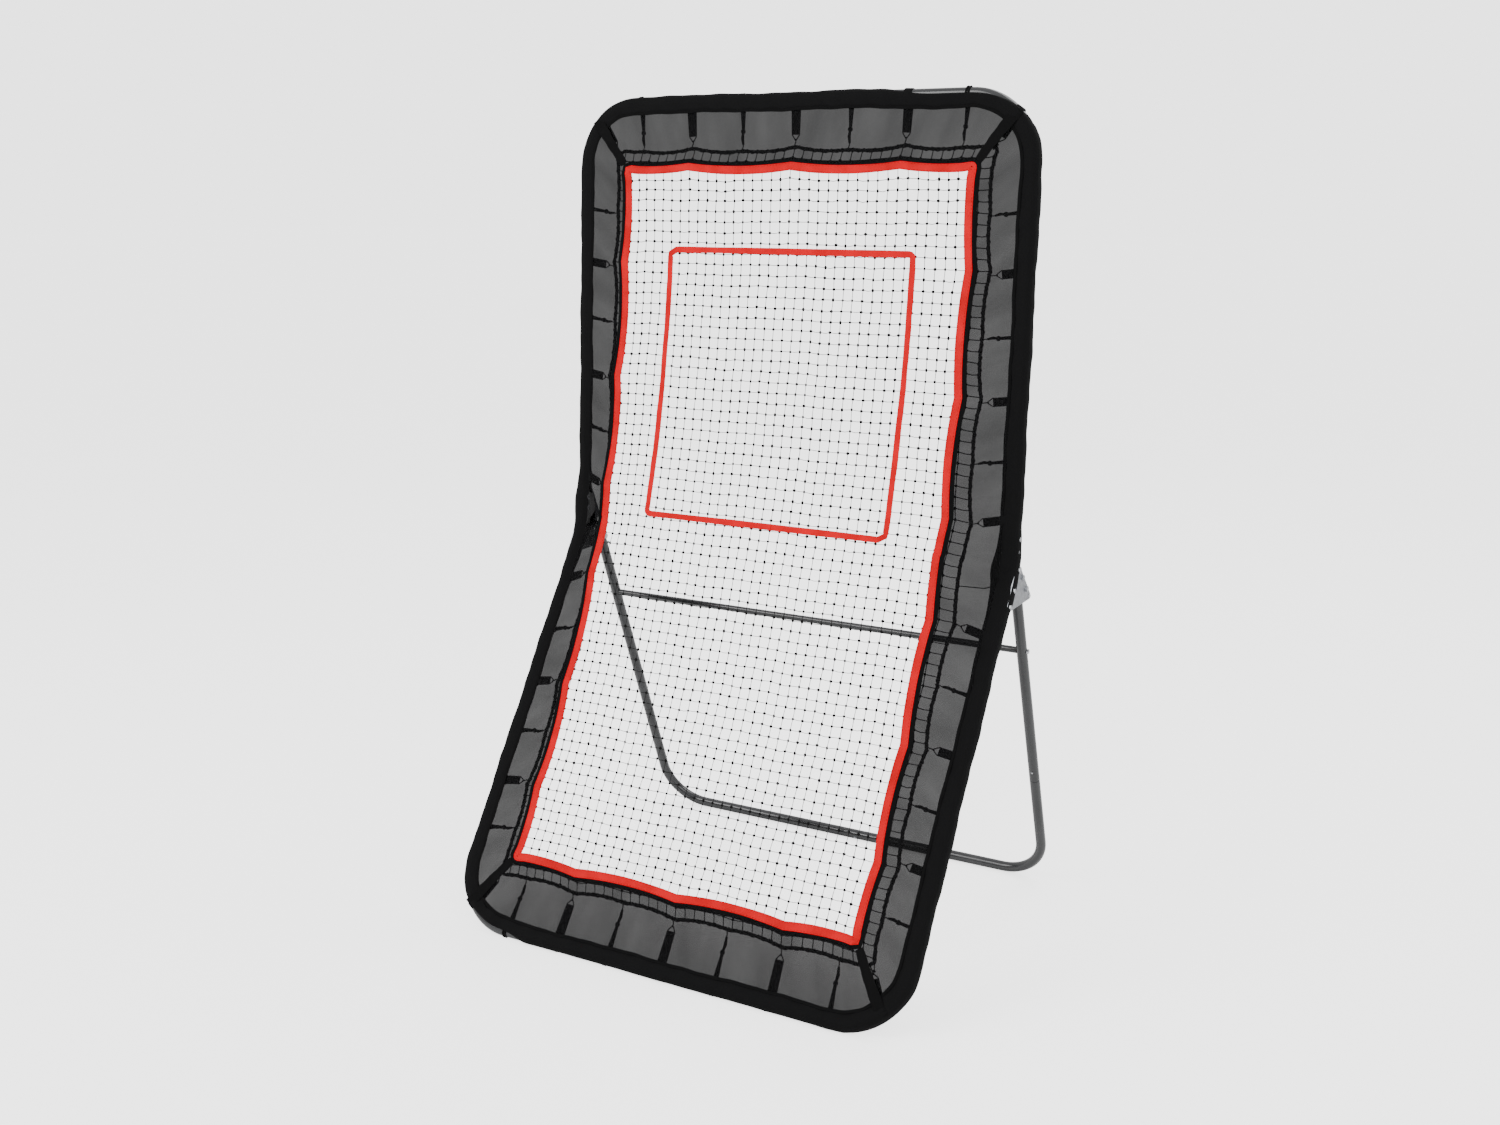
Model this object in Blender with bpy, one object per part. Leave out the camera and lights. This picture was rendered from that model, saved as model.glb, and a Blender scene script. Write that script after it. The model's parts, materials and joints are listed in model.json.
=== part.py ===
"""Folding pitching target net: a bent net frame on a rear leg, all sizes in metres.

X runs to the right, Y to the back and Z up, with the origin on the floor under the middle of the object.
A place on either net panel is given as (x, s, out): s is the distance from the hinge line along the panel,
and out is the distance in front of the plane through the panel's tube centres.
"""

import math

import bmesh
import bpy
from mathutils import Matrix, Vector

# Overall shape
HINGE_HEIGHT = 0.900
LOWER_LEAN = math.radians(33.0)
UPPER_LEAN = math.radians(3.0)
FRAME_HALF_WIDTH = 0.5873
UPPER_RUN = 1.0415
FRAME_BEND = 0.150

# Tubes
TUBE_RADIUS = 0.0127
TUBE_WALL = 0.0012
TUBE_SIDES = 12
SPIGOT_RADIUS = 0.0112
SPIGOT_LENGTH = 0.060
SHOULDER = 0.002
TUBE_START = 0.020
REST_HEIGHT = TUBE_RADIUS * math.cos(math.pi / TUBE_SIDES)
LOWER_RUN = (HINGE_HEIGHT - REST_HEIGHT) / math.cos(LOWER_LEAN)

# Rear leg
LEG_PIVOT_BACK = 0.0533
LEG_PIVOT_DROP = 0.0547
LEG_FOOT_BACK = 0.3728
LEG_TOP_X = 0.5785
LEG_FOOT_X = 0.568
LEG_BEND = 0.115
LEG_STUB = 0.015
LEG_JOINT_SHARE = 0.64
CROSS_BAR_SHARE = 0.20
CROSS_BAR_RADIUS = 0.008
CROSS_BAR_WALL = 0.001

# The box of the whole object is centred on the origin from front to back.
SLEEVE_OUT = TUBE_RADIUS + 0.001
SLEEVE_THICKNESS = 0.002
SLEEVE_OUTER_X = 0.6035
SLEEVE_INNER_X = 0.570
SLEEVE_LOWER_S = LOWER_RUN + 0.0137
FRONT_REACH = SLEEVE_LOWER_S * math.sin(LOWER_LEAN) + (SLEEVE_OUT + SLEEVE_THICKNESS) * math.cos(LOWER_LEAN)
BACK_REACH = LEG_FOOT_BACK + REST_HEIGHT
HINGE_Y = (FRONT_REACH - BACK_REACH) / 2

# Hinge hardware, as distances from the middle of the object
OUTER_PLATE_X = 0.6003
INNER_PLATE_X = 0.5718
PLATE_THICKNESS = 0.0025
CLAMP_RADIUS = 0.035
CLAMP_ANGLE = math.radians(-40.0)
SLOT_HALF_ANGLE = math.radians(35.0)
GAP = 0.0003

# Snap buttons
BUTTON_RADIUS = 0.0029
BUTTON_HOLE = 0.0033
BUTTON_TOP = 0.0147
BUTTON_BASE = 0.0072

# Net, border and cover
NET_END_S = 0.88
NET_END_OUT = 0.02
NET_HALF_WIDTH = 0.4455
NET_THICKNESS = 0.0015
UPPER_NET_START = 0.040
LOWER_NET_START = 0.100
BORDER_OUTER = 0.4675
BORDER_INNER = 0.448
BORDER_TOP = 0.898
COVER_INNER = 0.4695
COVER_OUTER = 0.5685
COVER_OUT = 0.012
COVER_THICKNESS = 0.0015
ROPE_HALF_WIDTH = 0.507
ROPE_TOP = 0.940
ROPE_RADIUS = 0.004
STRIKE_HALF_WIDTH = 0.330
STRIKE_LOW = 0.045
STRIKE_HIGH = 0.700
STRIKE_RIBBON = 0.015

FORWARD = Vector((0, -1, 0))


def clear_scene():
    for obj in list(bpy.data.objects):
        bpy.data.objects.remove(obj, do_unlink=True)


def material(name, colour, roughness, metallic=0.0):
    made = bpy.data.materials.new(name)
    made.use_nodes = True
    shader = made.node_tree.nodes["Principled BSDF"]
    shader.inputs["Base Color"].default_value = (*colour, 1.0)
    shader.inputs["Roughness"].default_value = roughness
    shader.inputs["Metallic"].default_value = metallic
    return made


def lower_point(x, s, out=0.0):
    """A place on the lower panel: s runs down from the hinge line."""
    y = HINGE_Y - s * math.sin(LOWER_LEAN) - out * math.cos(LOWER_LEAN)
    z = HINGE_HEIGHT - s * math.cos(LOWER_LEAN) + out * math.sin(LOWER_LEAN)
    return Vector((x, y, z))


def upper_point(x, s, out=0.0):
    """A place on the upper panel: s runs up from the hinge line."""
    y = HINGE_Y + s * math.sin(UPPER_LEAN) - out * math.cos(UPPER_LEAN)
    z = HINGE_HEIGHT + s * math.cos(UPPER_LEAN) + out * math.sin(UPPER_LEAN)
    return Vector((x, y, z))


HINGE = Vector((0, HINGE_Y, HINGE_HEIGHT))
LEG_PIVOT = HINGE + Vector((0, LEG_PIVOT_BACK, -LEG_PIVOT_DROP))
LEG_FOOT = Vector((0, HINGE_Y + LEG_FOOT_BACK, REST_HEIGHT))
LEG_DOWN = (LEG_FOOT - LEG_PIVOT).normalized()
LEG_LENGTH = (LEG_FOOT - LEG_PIVOT).length
LEG_FRONT = Vector((0, LEG_DOWN.z, -LEG_DOWN.y))
UPPER_BACK = upper_point(0, 0, -1) - upper_point(0, 0)
LOWER_BACK = lower_point(0, 0, -1) - lower_point(0, 0)
CLAMP_OFFSET = CLAMP_RADIUS * Vector((0, math.cos(CLAMP_ANGLE), math.sin(CLAMP_ANGLE)))


def leg_point(side, share):
    """A place on a leg's centre line, share of the way from its pivot to the level of the foot."""
    x = LEG_TOP_X + (LEG_FOOT_X - LEG_TOP_X) * share
    return Vector((side * x, 0, 0)) + LEG_PIVOT.lerp(LEG_FOOT, share)


def add_object(name, bm, finish, origin=Vector()):
    """Makes an object of a bmesh in world coordinates, with its origin at the given point."""
    bmesh.ops.translate(bm, verts=bm.verts, vec=-origin)
    bmesh.ops.recalc_face_normals(bm, faces=bm.faces)
    mesh = bpy.data.meshes.new(name)
    bm.to_mesh(mesh)
    bm.free()
    mesh.materials.append(finish)
    mesh.shade_smooth()
    mesh.set_sharp_from_angle(angle=math.radians(35))
    obj = bpy.data.objects.new(name, mesh)
    obj.location = origin
    bpy.context.scene.collection.objects.link(obj)
    return obj


def rounded_path(start, corner, end, radius, steps=8):
    """A path from start to end with an arc of the given radius in place of the corner."""
    to_start = (start - corner).normalized()
    to_end = (end - corner).normalized()
    half = to_start.angle(to_end) / 2
    cut = radius / math.tan(half)
    centre = corner + (to_start + to_end).normalized() * radius / math.sin(half)
    first = corner + to_start * cut - centre
    axis = to_end.cross(to_start)
    turn = math.pi - 2 * half
    arc = [centre + Matrix.Rotation(-turn * k / steps, 3, axis) @ first for k in range(steps + 1)]
    if (arc[-1] - corner - to_end * cut).length > 1e-6:
        arc = [centre + Matrix.Rotation(turn * k / steps, 3, axis) @ first for k in range(steps + 1)]
    return [start, *arc, end]


def ring_frames(path, toward):
    """A pair of directions across the path at each of its points, turned as little as possible."""
    frames = []
    across = toward
    for k, point in enumerate(path):
        before = path[max(k - 1, 0)]
        after = path[min(k + 1, len(path) - 1)]
        along = ((point - before).normalized() + (after - point).normalized()).normalized()
        across = (across - along * across.dot(along)).normalized()
        frames.append((across, along.cross(across)))
    return frames


def add_rings(bm, path, radii, toward, sides):
    rings = []
    for point, radius, (u, v) in zip(path, radii, ring_frames(path, toward)):
        angles = [2 * math.pi * (k + 0.5) / sides for k in range(sides)]
        rings.append([bm.verts.new(point + radius * (u * math.cos(a) + v * math.sin(a))) for a in angles])
    return rings


def bridge(bm, ring_a, ring_b):
    for k in range(len(ring_a)):
        n = (k + 1) % len(ring_a)
        bm.faces.new((ring_a[k], ring_a[n], ring_b[n], ring_b[k]))


def tube(name, path, outer, inner, finish, toward, origin=Vector()):
    """A hollow tube along a path, with an outer and an inner radius at each point; one facet faces toward."""
    bm = bmesh.new()
    skin = add_rings(bm, path, outer, toward, TUBE_SIDES)
    bore = add_rings(bm, path, inner, toward, TUBE_SIDES)
    for rings in (skin, bore):
        for a, b in zip(rings, rings[1:]):
            bridge(bm, a, b)
    bridge(bm, skin[0], bore[0])
    bridge(bm, skin[-1], bore[-1])
    return add_object(name, bm, finish, origin)


def spigot_tube(name, path, finish, toward, origin=Vector()):
    """A tube whose first end is swaged down, so that it plugs into the next tube."""
    along = (path[1] - path[0]).normalized()
    shoulder = path[0] + along * SHOULDER
    tip = path[0] - along * SPIGOT_LENGTH
    full = [tip, path[0], shoulder, *path[1:]]
    outer = [SPIGOT_RADIUS, SPIGOT_RADIUS] + [TUBE_RADIUS] * (len(full) - 2)
    inner = [SPIGOT_RADIUS - TUBE_WALL] * 2 + [TUBE_RADIUS - TUBE_WALL] * (len(full) - 2)
    return tube(name, full, outer, inner, finish, toward, origin)


def plain_tube(name, path, finish, toward, origin=Vector()):
    outer = [TUBE_RADIUS] * len(path)
    inner = [TUBE_RADIUS - TUBE_WALL] * len(path)
    return tube(name, path, outer, inner, finish, toward, origin)


def turned(bm, centre, axis, profile, sides=12):
    """A solid of revolution: profile is (distance along the axis, corner radius, flat radius)."""
    helper = Vector((0, 0, 1)) if abs(axis.z) < 0.9 else Vector((1, 0, 0))
    u = axis.cross(helper).normalized()
    v = axis.cross(u)
    rings = []
    for distance, corner, flat in profile:
        ring = []
        for k in range(sides):
            radius = corner if k % 2 == 0 else flat
            angle = 2 * math.pi * k / sides
            way = u * math.cos(angle) + v * math.sin(angle)
            ring.append(bm.verts.new(centre + axis * distance + radius * way))
        rings.append(ring)
    for a, b in zip(rings, rings[1:]):
        bridge(bm, a, b)
    bm.faces.new(rings[0])
    bm.faces.new(rings[-1])


def round_profile(*pairs):
    return [(distance, radius, radius) for distance, radius in pairs]


def bolt_profile(head, nut, shank, hexagon, thickness=0.005, tail=0.0):
    """A bolt from the outside (head) to the inside (nut), both hexagons; distances grow outwards."""
    flat = hexagon * math.cos(math.pi / 6)
    profile = [(nut - thickness - tail, shank, shank)] if tail else []
    profile += [(nut - thickness, shank, shank)] if tail else []
    profile += [(nut - thickness, hexagon, flat), (nut, hexagon, flat), (nut, shank, shank)]
    profile += [(head, shank, shank), (head, hexagon, flat), (head + thickness, hexagon, flat)]
    return profile


def drill(target, centre, axis, radius, reach):
    """Cuts a round hole through the target, reach to each side of the centre."""
    bm = bmesh.new()
    turned(bm, centre, axis, round_profile((-reach, radius), (reach, radius)))
    name = "cut_" + target.name + "_" + str(len(target.modifiers))
    cutter = add_object(name, bm, target.data.materials[0])
    subtract(target, cutter)


def subtract(target, cutter):
    cutter.hide_render = True
    cutter.display_type = "WIRE"
    cut = target.modifiers.new(cutter.name, "BOOLEAN")
    cut.operation = "DIFFERENCE"
    cut.solver = "EXACT"
    cut.object = cutter


def outline(circles, steps=16):
    """The convex outline round a set of circles, each (y, z, radius), as points from the lowest on."""
    cloud = []
    for y, z, radius in circles:
        for k in range(steps):
            angle = 2 * math.pi * k / steps
            cloud.append((y + radius * math.cos(angle), z + radius * math.sin(angle)))
    cloud.sort()
    chain = []
    for points in (cloud, cloud[::-1]):
        part = []
        for p in points:
            while len(part) > 1 and turn_of(part[-2], part[-1], p) <= 1e-9:
                part.pop()
            part.append(p)
        chain += part[:-1]
    return chain


def turn_of(a, b, c):
    return (b[0] - a[0]) * (c[1] - a[1]) - (b[1] - a[1]) * (c[0] - a[0])


def plate(name, side, near, far, points, finish, origin):
    """A flat plate across X between the distances near and far from the middle, on one side."""
    bm = bmesh.new()
    rings = [[bm.verts.new((side * x, y, z)) for y, z in points] for x in (near, far)]
    bridge(bm, *rings)
    bm.faces.new(rings[0])
    bm.faces.new(rings[1])
    return add_object(name, bm, finish, origin)


def circle_at(point, radius):
    return (point.y, point.z, radius)


def frame_tubes(panel_point, run, label, finish, origin, toward, back):
    """The two J shaped halves of a net frame, joined in the middle of the cross run."""
    tubes = {}
    for side, word in ((-1, "left"), (1, "right")):
        start = panel_point(-0.003, run)
        corner = panel_point(side * FRAME_HALF_WIDTH, run)
        end = panel_point(side * FRAME_HALF_WIDTH, TUBE_START)
        path = rounded_path(start, corner, end, FRAME_BEND)
        make = spigot_tube if side < 0 else plain_tube
        tubes[word] = make(label + "_frame_" + word + "_tube", path, finish, toward, origin)
    button_at = panel_point(0.030, run)
    for half in tubes.values():
        drill(half, button_at + back * TUBE_RADIUS, back, BUTTON_HOLE, TUBE_RADIUS / 2)
    return tubes, button_at


def snap_button(label, centre, direction, along, steel):
    """A sprung button at centre that stands out of a tube in the given direction, and its leaf spring."""
    bm = bmesh.new()
    profile = round_profile(
        (BUTTON_BASE, 0.0045),
        (BUTTON_BASE + 0.0012, 0.0045),
        (BUTTON_BASE + 0.0012, BUTTON_RADIUS),
        (BUTTON_TOP - 0.0008, BUTTON_RADIUS),
        (BUTTON_TOP, BUTTON_RADIUS * 0.6),
    )
    turned(bm, centre, direction, profile)
    add_object(label + "_snap_button", bm, steel, centre)
    sideways = direction.cross(along)
    route = [
        (0.005, BUTTON_BASE - GAP),
        (-0.024, BUTTON_BASE - 0.003),
        (-0.030, 0.0),
        (-0.024, -0.003),
        (-0.004, -0.005),
    ]
    bm = bmesh.new()
    rings = []
    for k, (reach, height) in enumerate(route):
        thick = 0.0005 if k != 2 else 0.0
        lean = 0.0005 if k == 2 else 0.0
        sign = 1 if k < 2 else -1
        ring = []
        for w, level in ((-0.003, 0), (0.003, 0), (0.003, 1), (-0.003, 1)):
            place = centre + along * (reach + lean * level) + sideways * w
            ring.append(bm.verts.new(place + direction * (height - sign * thick * level)))
        rings.append(ring)
    for a, b in zip(rings, rings[1:]):
        bridge(bm, a, b)
    bm.faces.new(rings[0])
    bm.faces.new(rings[-1])
    add_object(label + "_button_spring", bm, steel, centre)


def rear_leg(paint, steel):
    """Two straight upper tubes, two J shaped bows and a cross bar."""
    for side, word in ((-1, "left"), (1, "right")):
        top = leg_point(side, -LEG_STUB / LEG_LENGTH)
        split = leg_point(side, LEG_JOINT_SHARE)
        along = (leg_point(side, 1) - leg_point(side, 0)).normalized()
        upper = plain_tube("leg_" + word + "_upper_tube", [top, split], paint, LEG_FRONT, LEG_PIVOT)
        drill(upper, leg_point(side, 0), Vector((1, 0, 0)), 0.0034, 0.03)
        drill(upper, leg_point(side, CROSS_BAR_SHARE), Vector((1, 0, 0)), 0.0034, 0.03)
        middle = Vector((-0.003, LEG_FOOT.y, LEG_FOOT.z))
        corner = leg_point(side, 1)
        upper_end = split + along * 0.001
        path = rounded_path(middle, corner, upper_end, LEG_BEND)
        bow = leg_bow(word, path, side, paint)
        button_at = split - along * 0.030
        for target in (upper, bow):
            drill(target, button_at + LEG_FRONT * TUBE_RADIUS, LEG_FRONT, BUTTON_HOLE, TUBE_RADIUS / 2)
        foot_button = LEG_FOOT + Vector((0.030, 0, 0))
        drill(bow, foot_button + LEG_FRONT * TUBE_RADIUS, LEG_FRONT, BUTTON_HOLE, TUBE_RADIUS / 2)
        snap_button("leg_" + word, button_at, LEG_FRONT, along, steel)
    snap_button("leg_foot", LEG_FOOT + Vector((0.030, 0, 0)), LEG_FRONT, Vector((1, 0, 0)), steel)
    cross_bar(paint, steel)


def leg_bow(word, path, side, paint):
    """A bow from the middle of the foot to the straight tube; its upper end plugs into that tube."""
    upper_end = path[-1]
    along = (path[-1] - path[-2]).normalized()
    rise = upper_end + along * SPIGOT_LENGTH
    narrow = upper_end - along * SHOULDER
    places = [*path[:-1], narrow, upper_end, rise]
    outer = [TUBE_RADIUS] * (len(places) - 2) + [SPIGOT_RADIUS] * 2
    inner = [radius - TUBE_WALL for radius in outer]
    if side < 0:
        level = (path[1] - path[0]).normalized()
        places = [path[0] - level * SPIGOT_LENGTH, path[0], path[0] + level * SHOULDER, *places[1:]]
        outer = [SPIGOT_RADIUS, SPIGOT_RADIUS, TUBE_RADIUS, *outer[1:]]
        inner = [radius - TUBE_WALL for radius in outer]
    down = Vector((0, 0, -1))
    return tube("leg_" + word + "_bow", places, outer, inner, paint, down, LEG_PIVOT)


def cross_bar(paint, steel):
    """A tube between the legs, crimped at its ends on the two bolts that hold it."""
    at = leg_point(1, CROSS_BAR_SHARE)
    reach = at.x - TUBE_RADIUS - 2 * GAP
    crimp = 0.024
    distances = (-reach, -reach + crimp, -reach + crimp + 0.004)
    distances += tuple(-d for d in reversed(distances))
    path = [Vector((d, at.y, at.z)) for d in distances]
    bore = CROSS_BAR_RADIUS - CROSS_BAR_WALL
    outer = [CROSS_BAR_RADIUS] * len(path)
    inner = [0.0033, 0.0033, bore, bore, 0.0033, 0.0033]
    tube("leg_cross_bar", path, outer, inner, paint, LEG_FRONT, LEG_PIVOT)
    for side, word in ((-1, "left"), (1, "right")):
        head = at.x + TUBE_RADIUS + GAP
        flat = 0.006 * math.cos(math.pi / 6)
        shank = round_profile((reach - crimp + 0.002, 0.003), (head, 0.003))
        bm = bmesh.new()
        hexagon = [(head, 0.006, flat), (head + 0.004, 0.006, flat)]
        turned(bm, Vector((0, at.y, at.z)), Vector((side, 0, 0)), shank + hexagon)
        add_object(word + "_cross_bar_bolt", bm, steel, LEG_PIVOT)


def hinge_side(side, word, zinc, steel, plastic):
    """The bracket plates, bolts, bush, spacer and stop pin of one hinge."""
    outward = Vector((side, 0, 0))
    outer_far = OUTER_PLATE_X + PLATE_THICKNESS
    inner_far = INNER_PLATE_X + PLATE_THICKNESS
    clamp = HINGE + CLAMP_OFFSET
    stop = LEG_PIVOT + LEG_DOWN * 0.030 - LEG_FRONT * (TUBE_RADIUS + 0.0035)
    lower_bolts = [lower_point(0, s) for s in (0.050, 0.090)]
    upper_bolts = [upper_point(0, s) for s in (0.040, 0.070)]

    circles = [circle_at(HINGE, 0.014), circle_at(lower_bolts[0], 0.012), circle_at(lower_bolts[1], 0.011)]
    circles += [circle_at(LEG_PIVOT, 0.012), circle_at(stop, 0.007)]
    lower = plate(word + "_lower_bracket", side, OUTER_PLATE_X, outer_far, outline(circles), zinc, HINGE)
    for place, radius in ((HINGE, 0.0043), (clamp, 0.0043), (LEG_PIVOT, 0.0033), (stop, 0.0033)):
        drill(lower, place + outward * OUTER_PLATE_X, outward, radius, 0.006)
    for place in lower_bolts:
        drill(lower, place + outward * OUTER_PLATE_X, outward, 0.0033, 0.006)

    slot_angles = [CLAMP_ANGLE + SLOT_HALF_ANGLE * k / 4 for k in range(-4, 5)]
    arc = [HINGE + CLAMP_RADIUS * Vector((0, math.cos(a), math.sin(a))) for a in slot_angles]
    circles = [circle_at(HINGE, 0.014), circle_at(upper_bolts[0], 0.012), circle_at(upper_bolts[1], 0.011)]
    circles += [circle_at(place, 0.0105) for place in arc]
    upper = plate(word + "_upper_bracket", side, INNER_PLATE_X, inner_far, outline(circles), zinc, HINGE)
    drill(upper, HINGE + outward * INNER_PLATE_X, outward, 0.0043, 0.006)
    for place in upper_bolts:
        drill(upper, place + outward * INNER_PLATE_X, outward, 0.0033, 0.006)
    subtract(upper, arc_slot(word, side, slot_angles, zinc))

    bm = bmesh.new()
    turned(bm, HINGE, outward, bolt_profile(outer_far + GAP, INNER_PLATE_X - GAP, 0.004, 0.0078, 0.0055))
    add_object(word + "_hinge_bolt", bm, steel, HINGE)
    bush_end = OUTER_PLATE_X - GAP
    ring_piece(word + "_hinge_bush", HINGE, outward, inner_far + GAP, bush_end, 0.008, 0.0043, plastic)

    bm = bmesh.new()
    leg_inner = LEG_TOP_X - TUBE_RADIUS - 0.0008
    turned(bm, LEG_PIVOT, outward, bolt_profile(outer_far + GAP, leg_inner, 0.003, 0.0070))
    add_object(word + "_leg_pivot_bolt", bm, steel, LEG_PIVOT)
    leg_outer = LEG_TOP_X + TUBE_RADIUS + 0.0008
    ring_piece(word + "_leg_spacer", LEG_PIVOT, outward, leg_outer, bush_end, 0.009, 0.0033, plastic)

    bm = bmesh.new()
    flat = 0.0065 * math.cos(math.pi / 6)
    shank = round_profile((INNER_PLATE_X - 0.0135, 0.004), (outer_far + GAP, 0.004))
    head = [(outer_far + GAP, 0.0065, flat), (outer_far + 0.005, 0.0065, flat)]
    turned(bm, clamp, outward, shank + head)
    add_object(word + "_clamp_bolt", bm, steel, clamp)

    bm = bmesh.new()
    pin = round_profile((LEG_TOP_X - 0.008, 0.003), (outer_far + GAP, 0.003))
    turned(bm, stop, outward, pin + round_profile((outer_far + GAP, 0.005), (outer_far + 0.002, 0.004)))
    add_object(word + "_leg_stop_pin", bm, steel, stop)
    lock_knob(word, side, clamp, plastic)
    return lower_bolts, upper_bolts


def ring_piece(name, centre, axis, near, far, outer, inner, finish):
    """A round spacer with a bore, between two distances along the axis."""
    bm = bmesh.new()
    turned(bm, centre, axis, round_profile((near, outer), (far, outer)))
    obj = add_object(name, bm, finish, centre)
    drill(obj, centre + axis * (near + far) / 2, axis, inner, far - near)


def arc_slot(word, side, angles, finish):
    """The cutter of the curved slot that the clamp bolt slides in."""
    half = 0.0046
    places = [(CLAMP_RADIUS + half, a) for a in angles]
    places += [(CLAMP_RADIUS, angles[-1] + half / CLAMP_RADIUS)]
    places += [(CLAMP_RADIUS - half, a) for a in reversed(angles)]
    places += [(CLAMP_RADIUS, angles[0] - half / CLAMP_RADIUS)]
    points = [(HINGE.y + r * math.cos(a), HINGE.z + r * math.sin(a)) for r, a in places]
    near, far = INNER_PLATE_X - 0.004, INNER_PLATE_X + 0.007
    return plate("cut_slot_" + word, side, near, far, points, finish, HINGE)


def lock_knob(word, side, clamp, plastic):
    """A lobed clamp knob on the inner side of the hinge; it turns on the clamp bolt."""
    lobes = 6
    steps = 36
    bm = bmesh.new()
    rings = []
    for distance, scale in ((-0.0145, 0.86), (-0.0130, 1.0), (-0.0025, 1.0), (-0.0008, 0.9)):
        ring = []
        for k in range(steps):
            angle = 2 * math.pi * k / steps
            radius = scale * (0.0135 + 0.0016 * math.cos(lobes * angle))
            x = side * (INNER_PLATE_X + distance)
            y, z = clamp.y + radius * math.cos(angle), clamp.z + radius * math.sin(angle)
            ring.append(bm.verts.new((x, y, z)))
        rings.append(ring)
    for a, b in zip(rings, rings[1:]):
        bridge(bm, a, b)
    bm.faces.new(rings[0])
    bm.faces.new(rings[-1])
    knob = add_object(word + "_lock_knob", bm, plastic, clamp)
    drill(knob, clamp + Vector((side * INNER_PLATE_X, 0, 0)), Vector((1, 0, 0)), 0.0043, 0.020)


def bracket_bolts(label, places, head, nut, steel):
    """The bolts that clamp a bracket plate to its tube, on both sides."""
    for side, word in ((-1, "left"), (1, "right")):
        for number, place in enumerate(places, 1):
            bm = bmesh.new()
            turned(bm, place, Vector((side, 0, 0)), bolt_profile(head, nut, 0.003, 0.0060, 0.0042))
            add_object(word + "_" + label + "_" + str(number), bm, steel, HINGE)


def net_place(t):
    """(s, out) of the net on either panel, for t from 0.5 at the middle of the fold to 1 at the far end."""
    bend = LOWER_LEAN - UPPER_LEAN
    other_s = NET_END_OUT * math.sin(bend) - NET_END_S * math.cos(bend)
    other_out = NET_END_S * math.sin(bend) + NET_END_OUT * math.cos(bend)
    s = other_s * (1 - t) ** 2 + NET_END_S * t**2
    out = other_out * (1 - t) ** 2 + NET_END_OUT * t**2
    return s, out


def net_out(s):
    """How far the net stands in front of the panel at the distance s from the hinge line."""
    low, high = 0.5, 1.0
    for _ in range(40):
        middle = (low + high) / 2
        if net_place(middle)[0] < s:
            low = middle
        else:
            high = middle
    return net_place(high)[1]


def cover_out(share, s):
    """The mesh cover's distance in front of the panel, share of the way from the sleeve to the border."""
    return COVER_OUT + share * (net_out(s) - COVER_OUT)


def u_loop(half_width, top, radius, start, side_steps=7, corner_steps=5):
    """Points (x, s) up one side of a panel, across its far end and down the other side."""
    right = []
    for k in range(side_steps):
        right.append((half_width, start + (top - radius - start) * k / side_steps))
    for k in range(corner_steps + 1):
        angle = math.pi / 2 * k / corner_steps
        x = half_width - radius + radius * math.cos(angle)
        right.append((x, top - radius + radius * math.sin(angle)))
    right += [(half_width * 0.5, top), (0.0, top)]
    return right + [(-x, s) for x, s in reversed(right[:-1])]


def join_sections(bm, a, b):
    """Joins two four-cornered sections. Both broad sides split along the same diagonal, so stay apart."""
    for i, j in ((0, 1), (3, 2)):
        bm.faces.new((a[i], a[j], b[j]))
        bm.faces.new((a[i], b[j], b[i]))
    bm.faces.new((a[1], a[2], b[2], b[1]))
    bm.faces.new((a[3], a[0], b[0], b[3]))


def ribbon(name, panel_point, edge_a, edge_b, out_a, out_b, thickness, finish, closed=False):
    """A thin solid strip between two edges on a panel; out_a and out_b give their distances in front."""
    bm = bmesh.new()
    rings = []
    for (xa, sa), (xb, sb) in zip(edge_a, edge_b):
        oa, ob = out_a(sa), out_b(sb)
        corners = [(xa, sa, oa), (xb, sb, ob), (xb, sb, ob + thickness), (xa, sa, oa + thickness)]
        rings.append([bm.verts.new(panel_point(*corner)) for corner in corners])
    for a, b in zip(rings, rings[1:]):
        join_sections(bm, a, b)
    if closed:
        join_sections(bm, rings[-1], rings[0])
    else:
        bm.faces.new(rings[0])
        bm.faces.new(rings[-1])
    return add_object(name, bm, finish, HINGE)


def net_sheet(name, panel_point, start, finish):
    steps = 9
    edge = [start + (NET_END_S - 0.003 - start) * k / steps for k in range(steps + 1)]
    left = [(-NET_HALF_WIDTH, s) for s in edge]
    right = [(NET_HALF_WIDTH, s) for s in edge]
    ribbon(name, panel_point, left, right, net_out, net_out, NET_THICKNESS, finish)


def soft_panel(label, panel_point, run, start, sleeve_start, colours):
    """The plain solids of the sleeve, mesh cover, border, net and edge rope of one panel."""
    black, grey, red, cord = colours
    sleeve_top = run + 0.0137

    def flat(_):
        return SLEEVE_OUT

    outer = u_loop(SLEEVE_OUTER_X, sleeve_top, 0.135, sleeve_start)
    inner = u_loop(SLEEVE_INNER_X, run - 0.018, 0.105, sleeve_start)
    ribbon(label + "_frame_sleeve", panel_point, outer, inner, flat, flat, SLEEVE_THICKNESS, black)

    outer = u_loop(COVER_OUTER, run - 0.0195, 0.1035, start)
    inner = u_loop(COVER_INNER, BORDER_TOP + 0.002, 0.010, start)

    def behind_sleeve(_):
        return COVER_OUT - COVER_THICKNESS

    ribbon(label + "_mesh_cover", panel_point, outer, inner, behind_sleeve, net_out, COVER_THICKNESS, grey)

    outer = u_loop(BORDER_OUTER, BORDER_TOP, 0.008, start)
    inner = u_loop(BORDER_INNER, BORDER_TOP - 0.0195, 0.004, start)
    ribbon(label + "_border_webbing", panel_point, outer, inner, net_out, net_out, 0.002, red)

    net_sheet(label + "_net", panel_point, start, cord)
    edge_rope(label, panel_point, start, cord)


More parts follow.
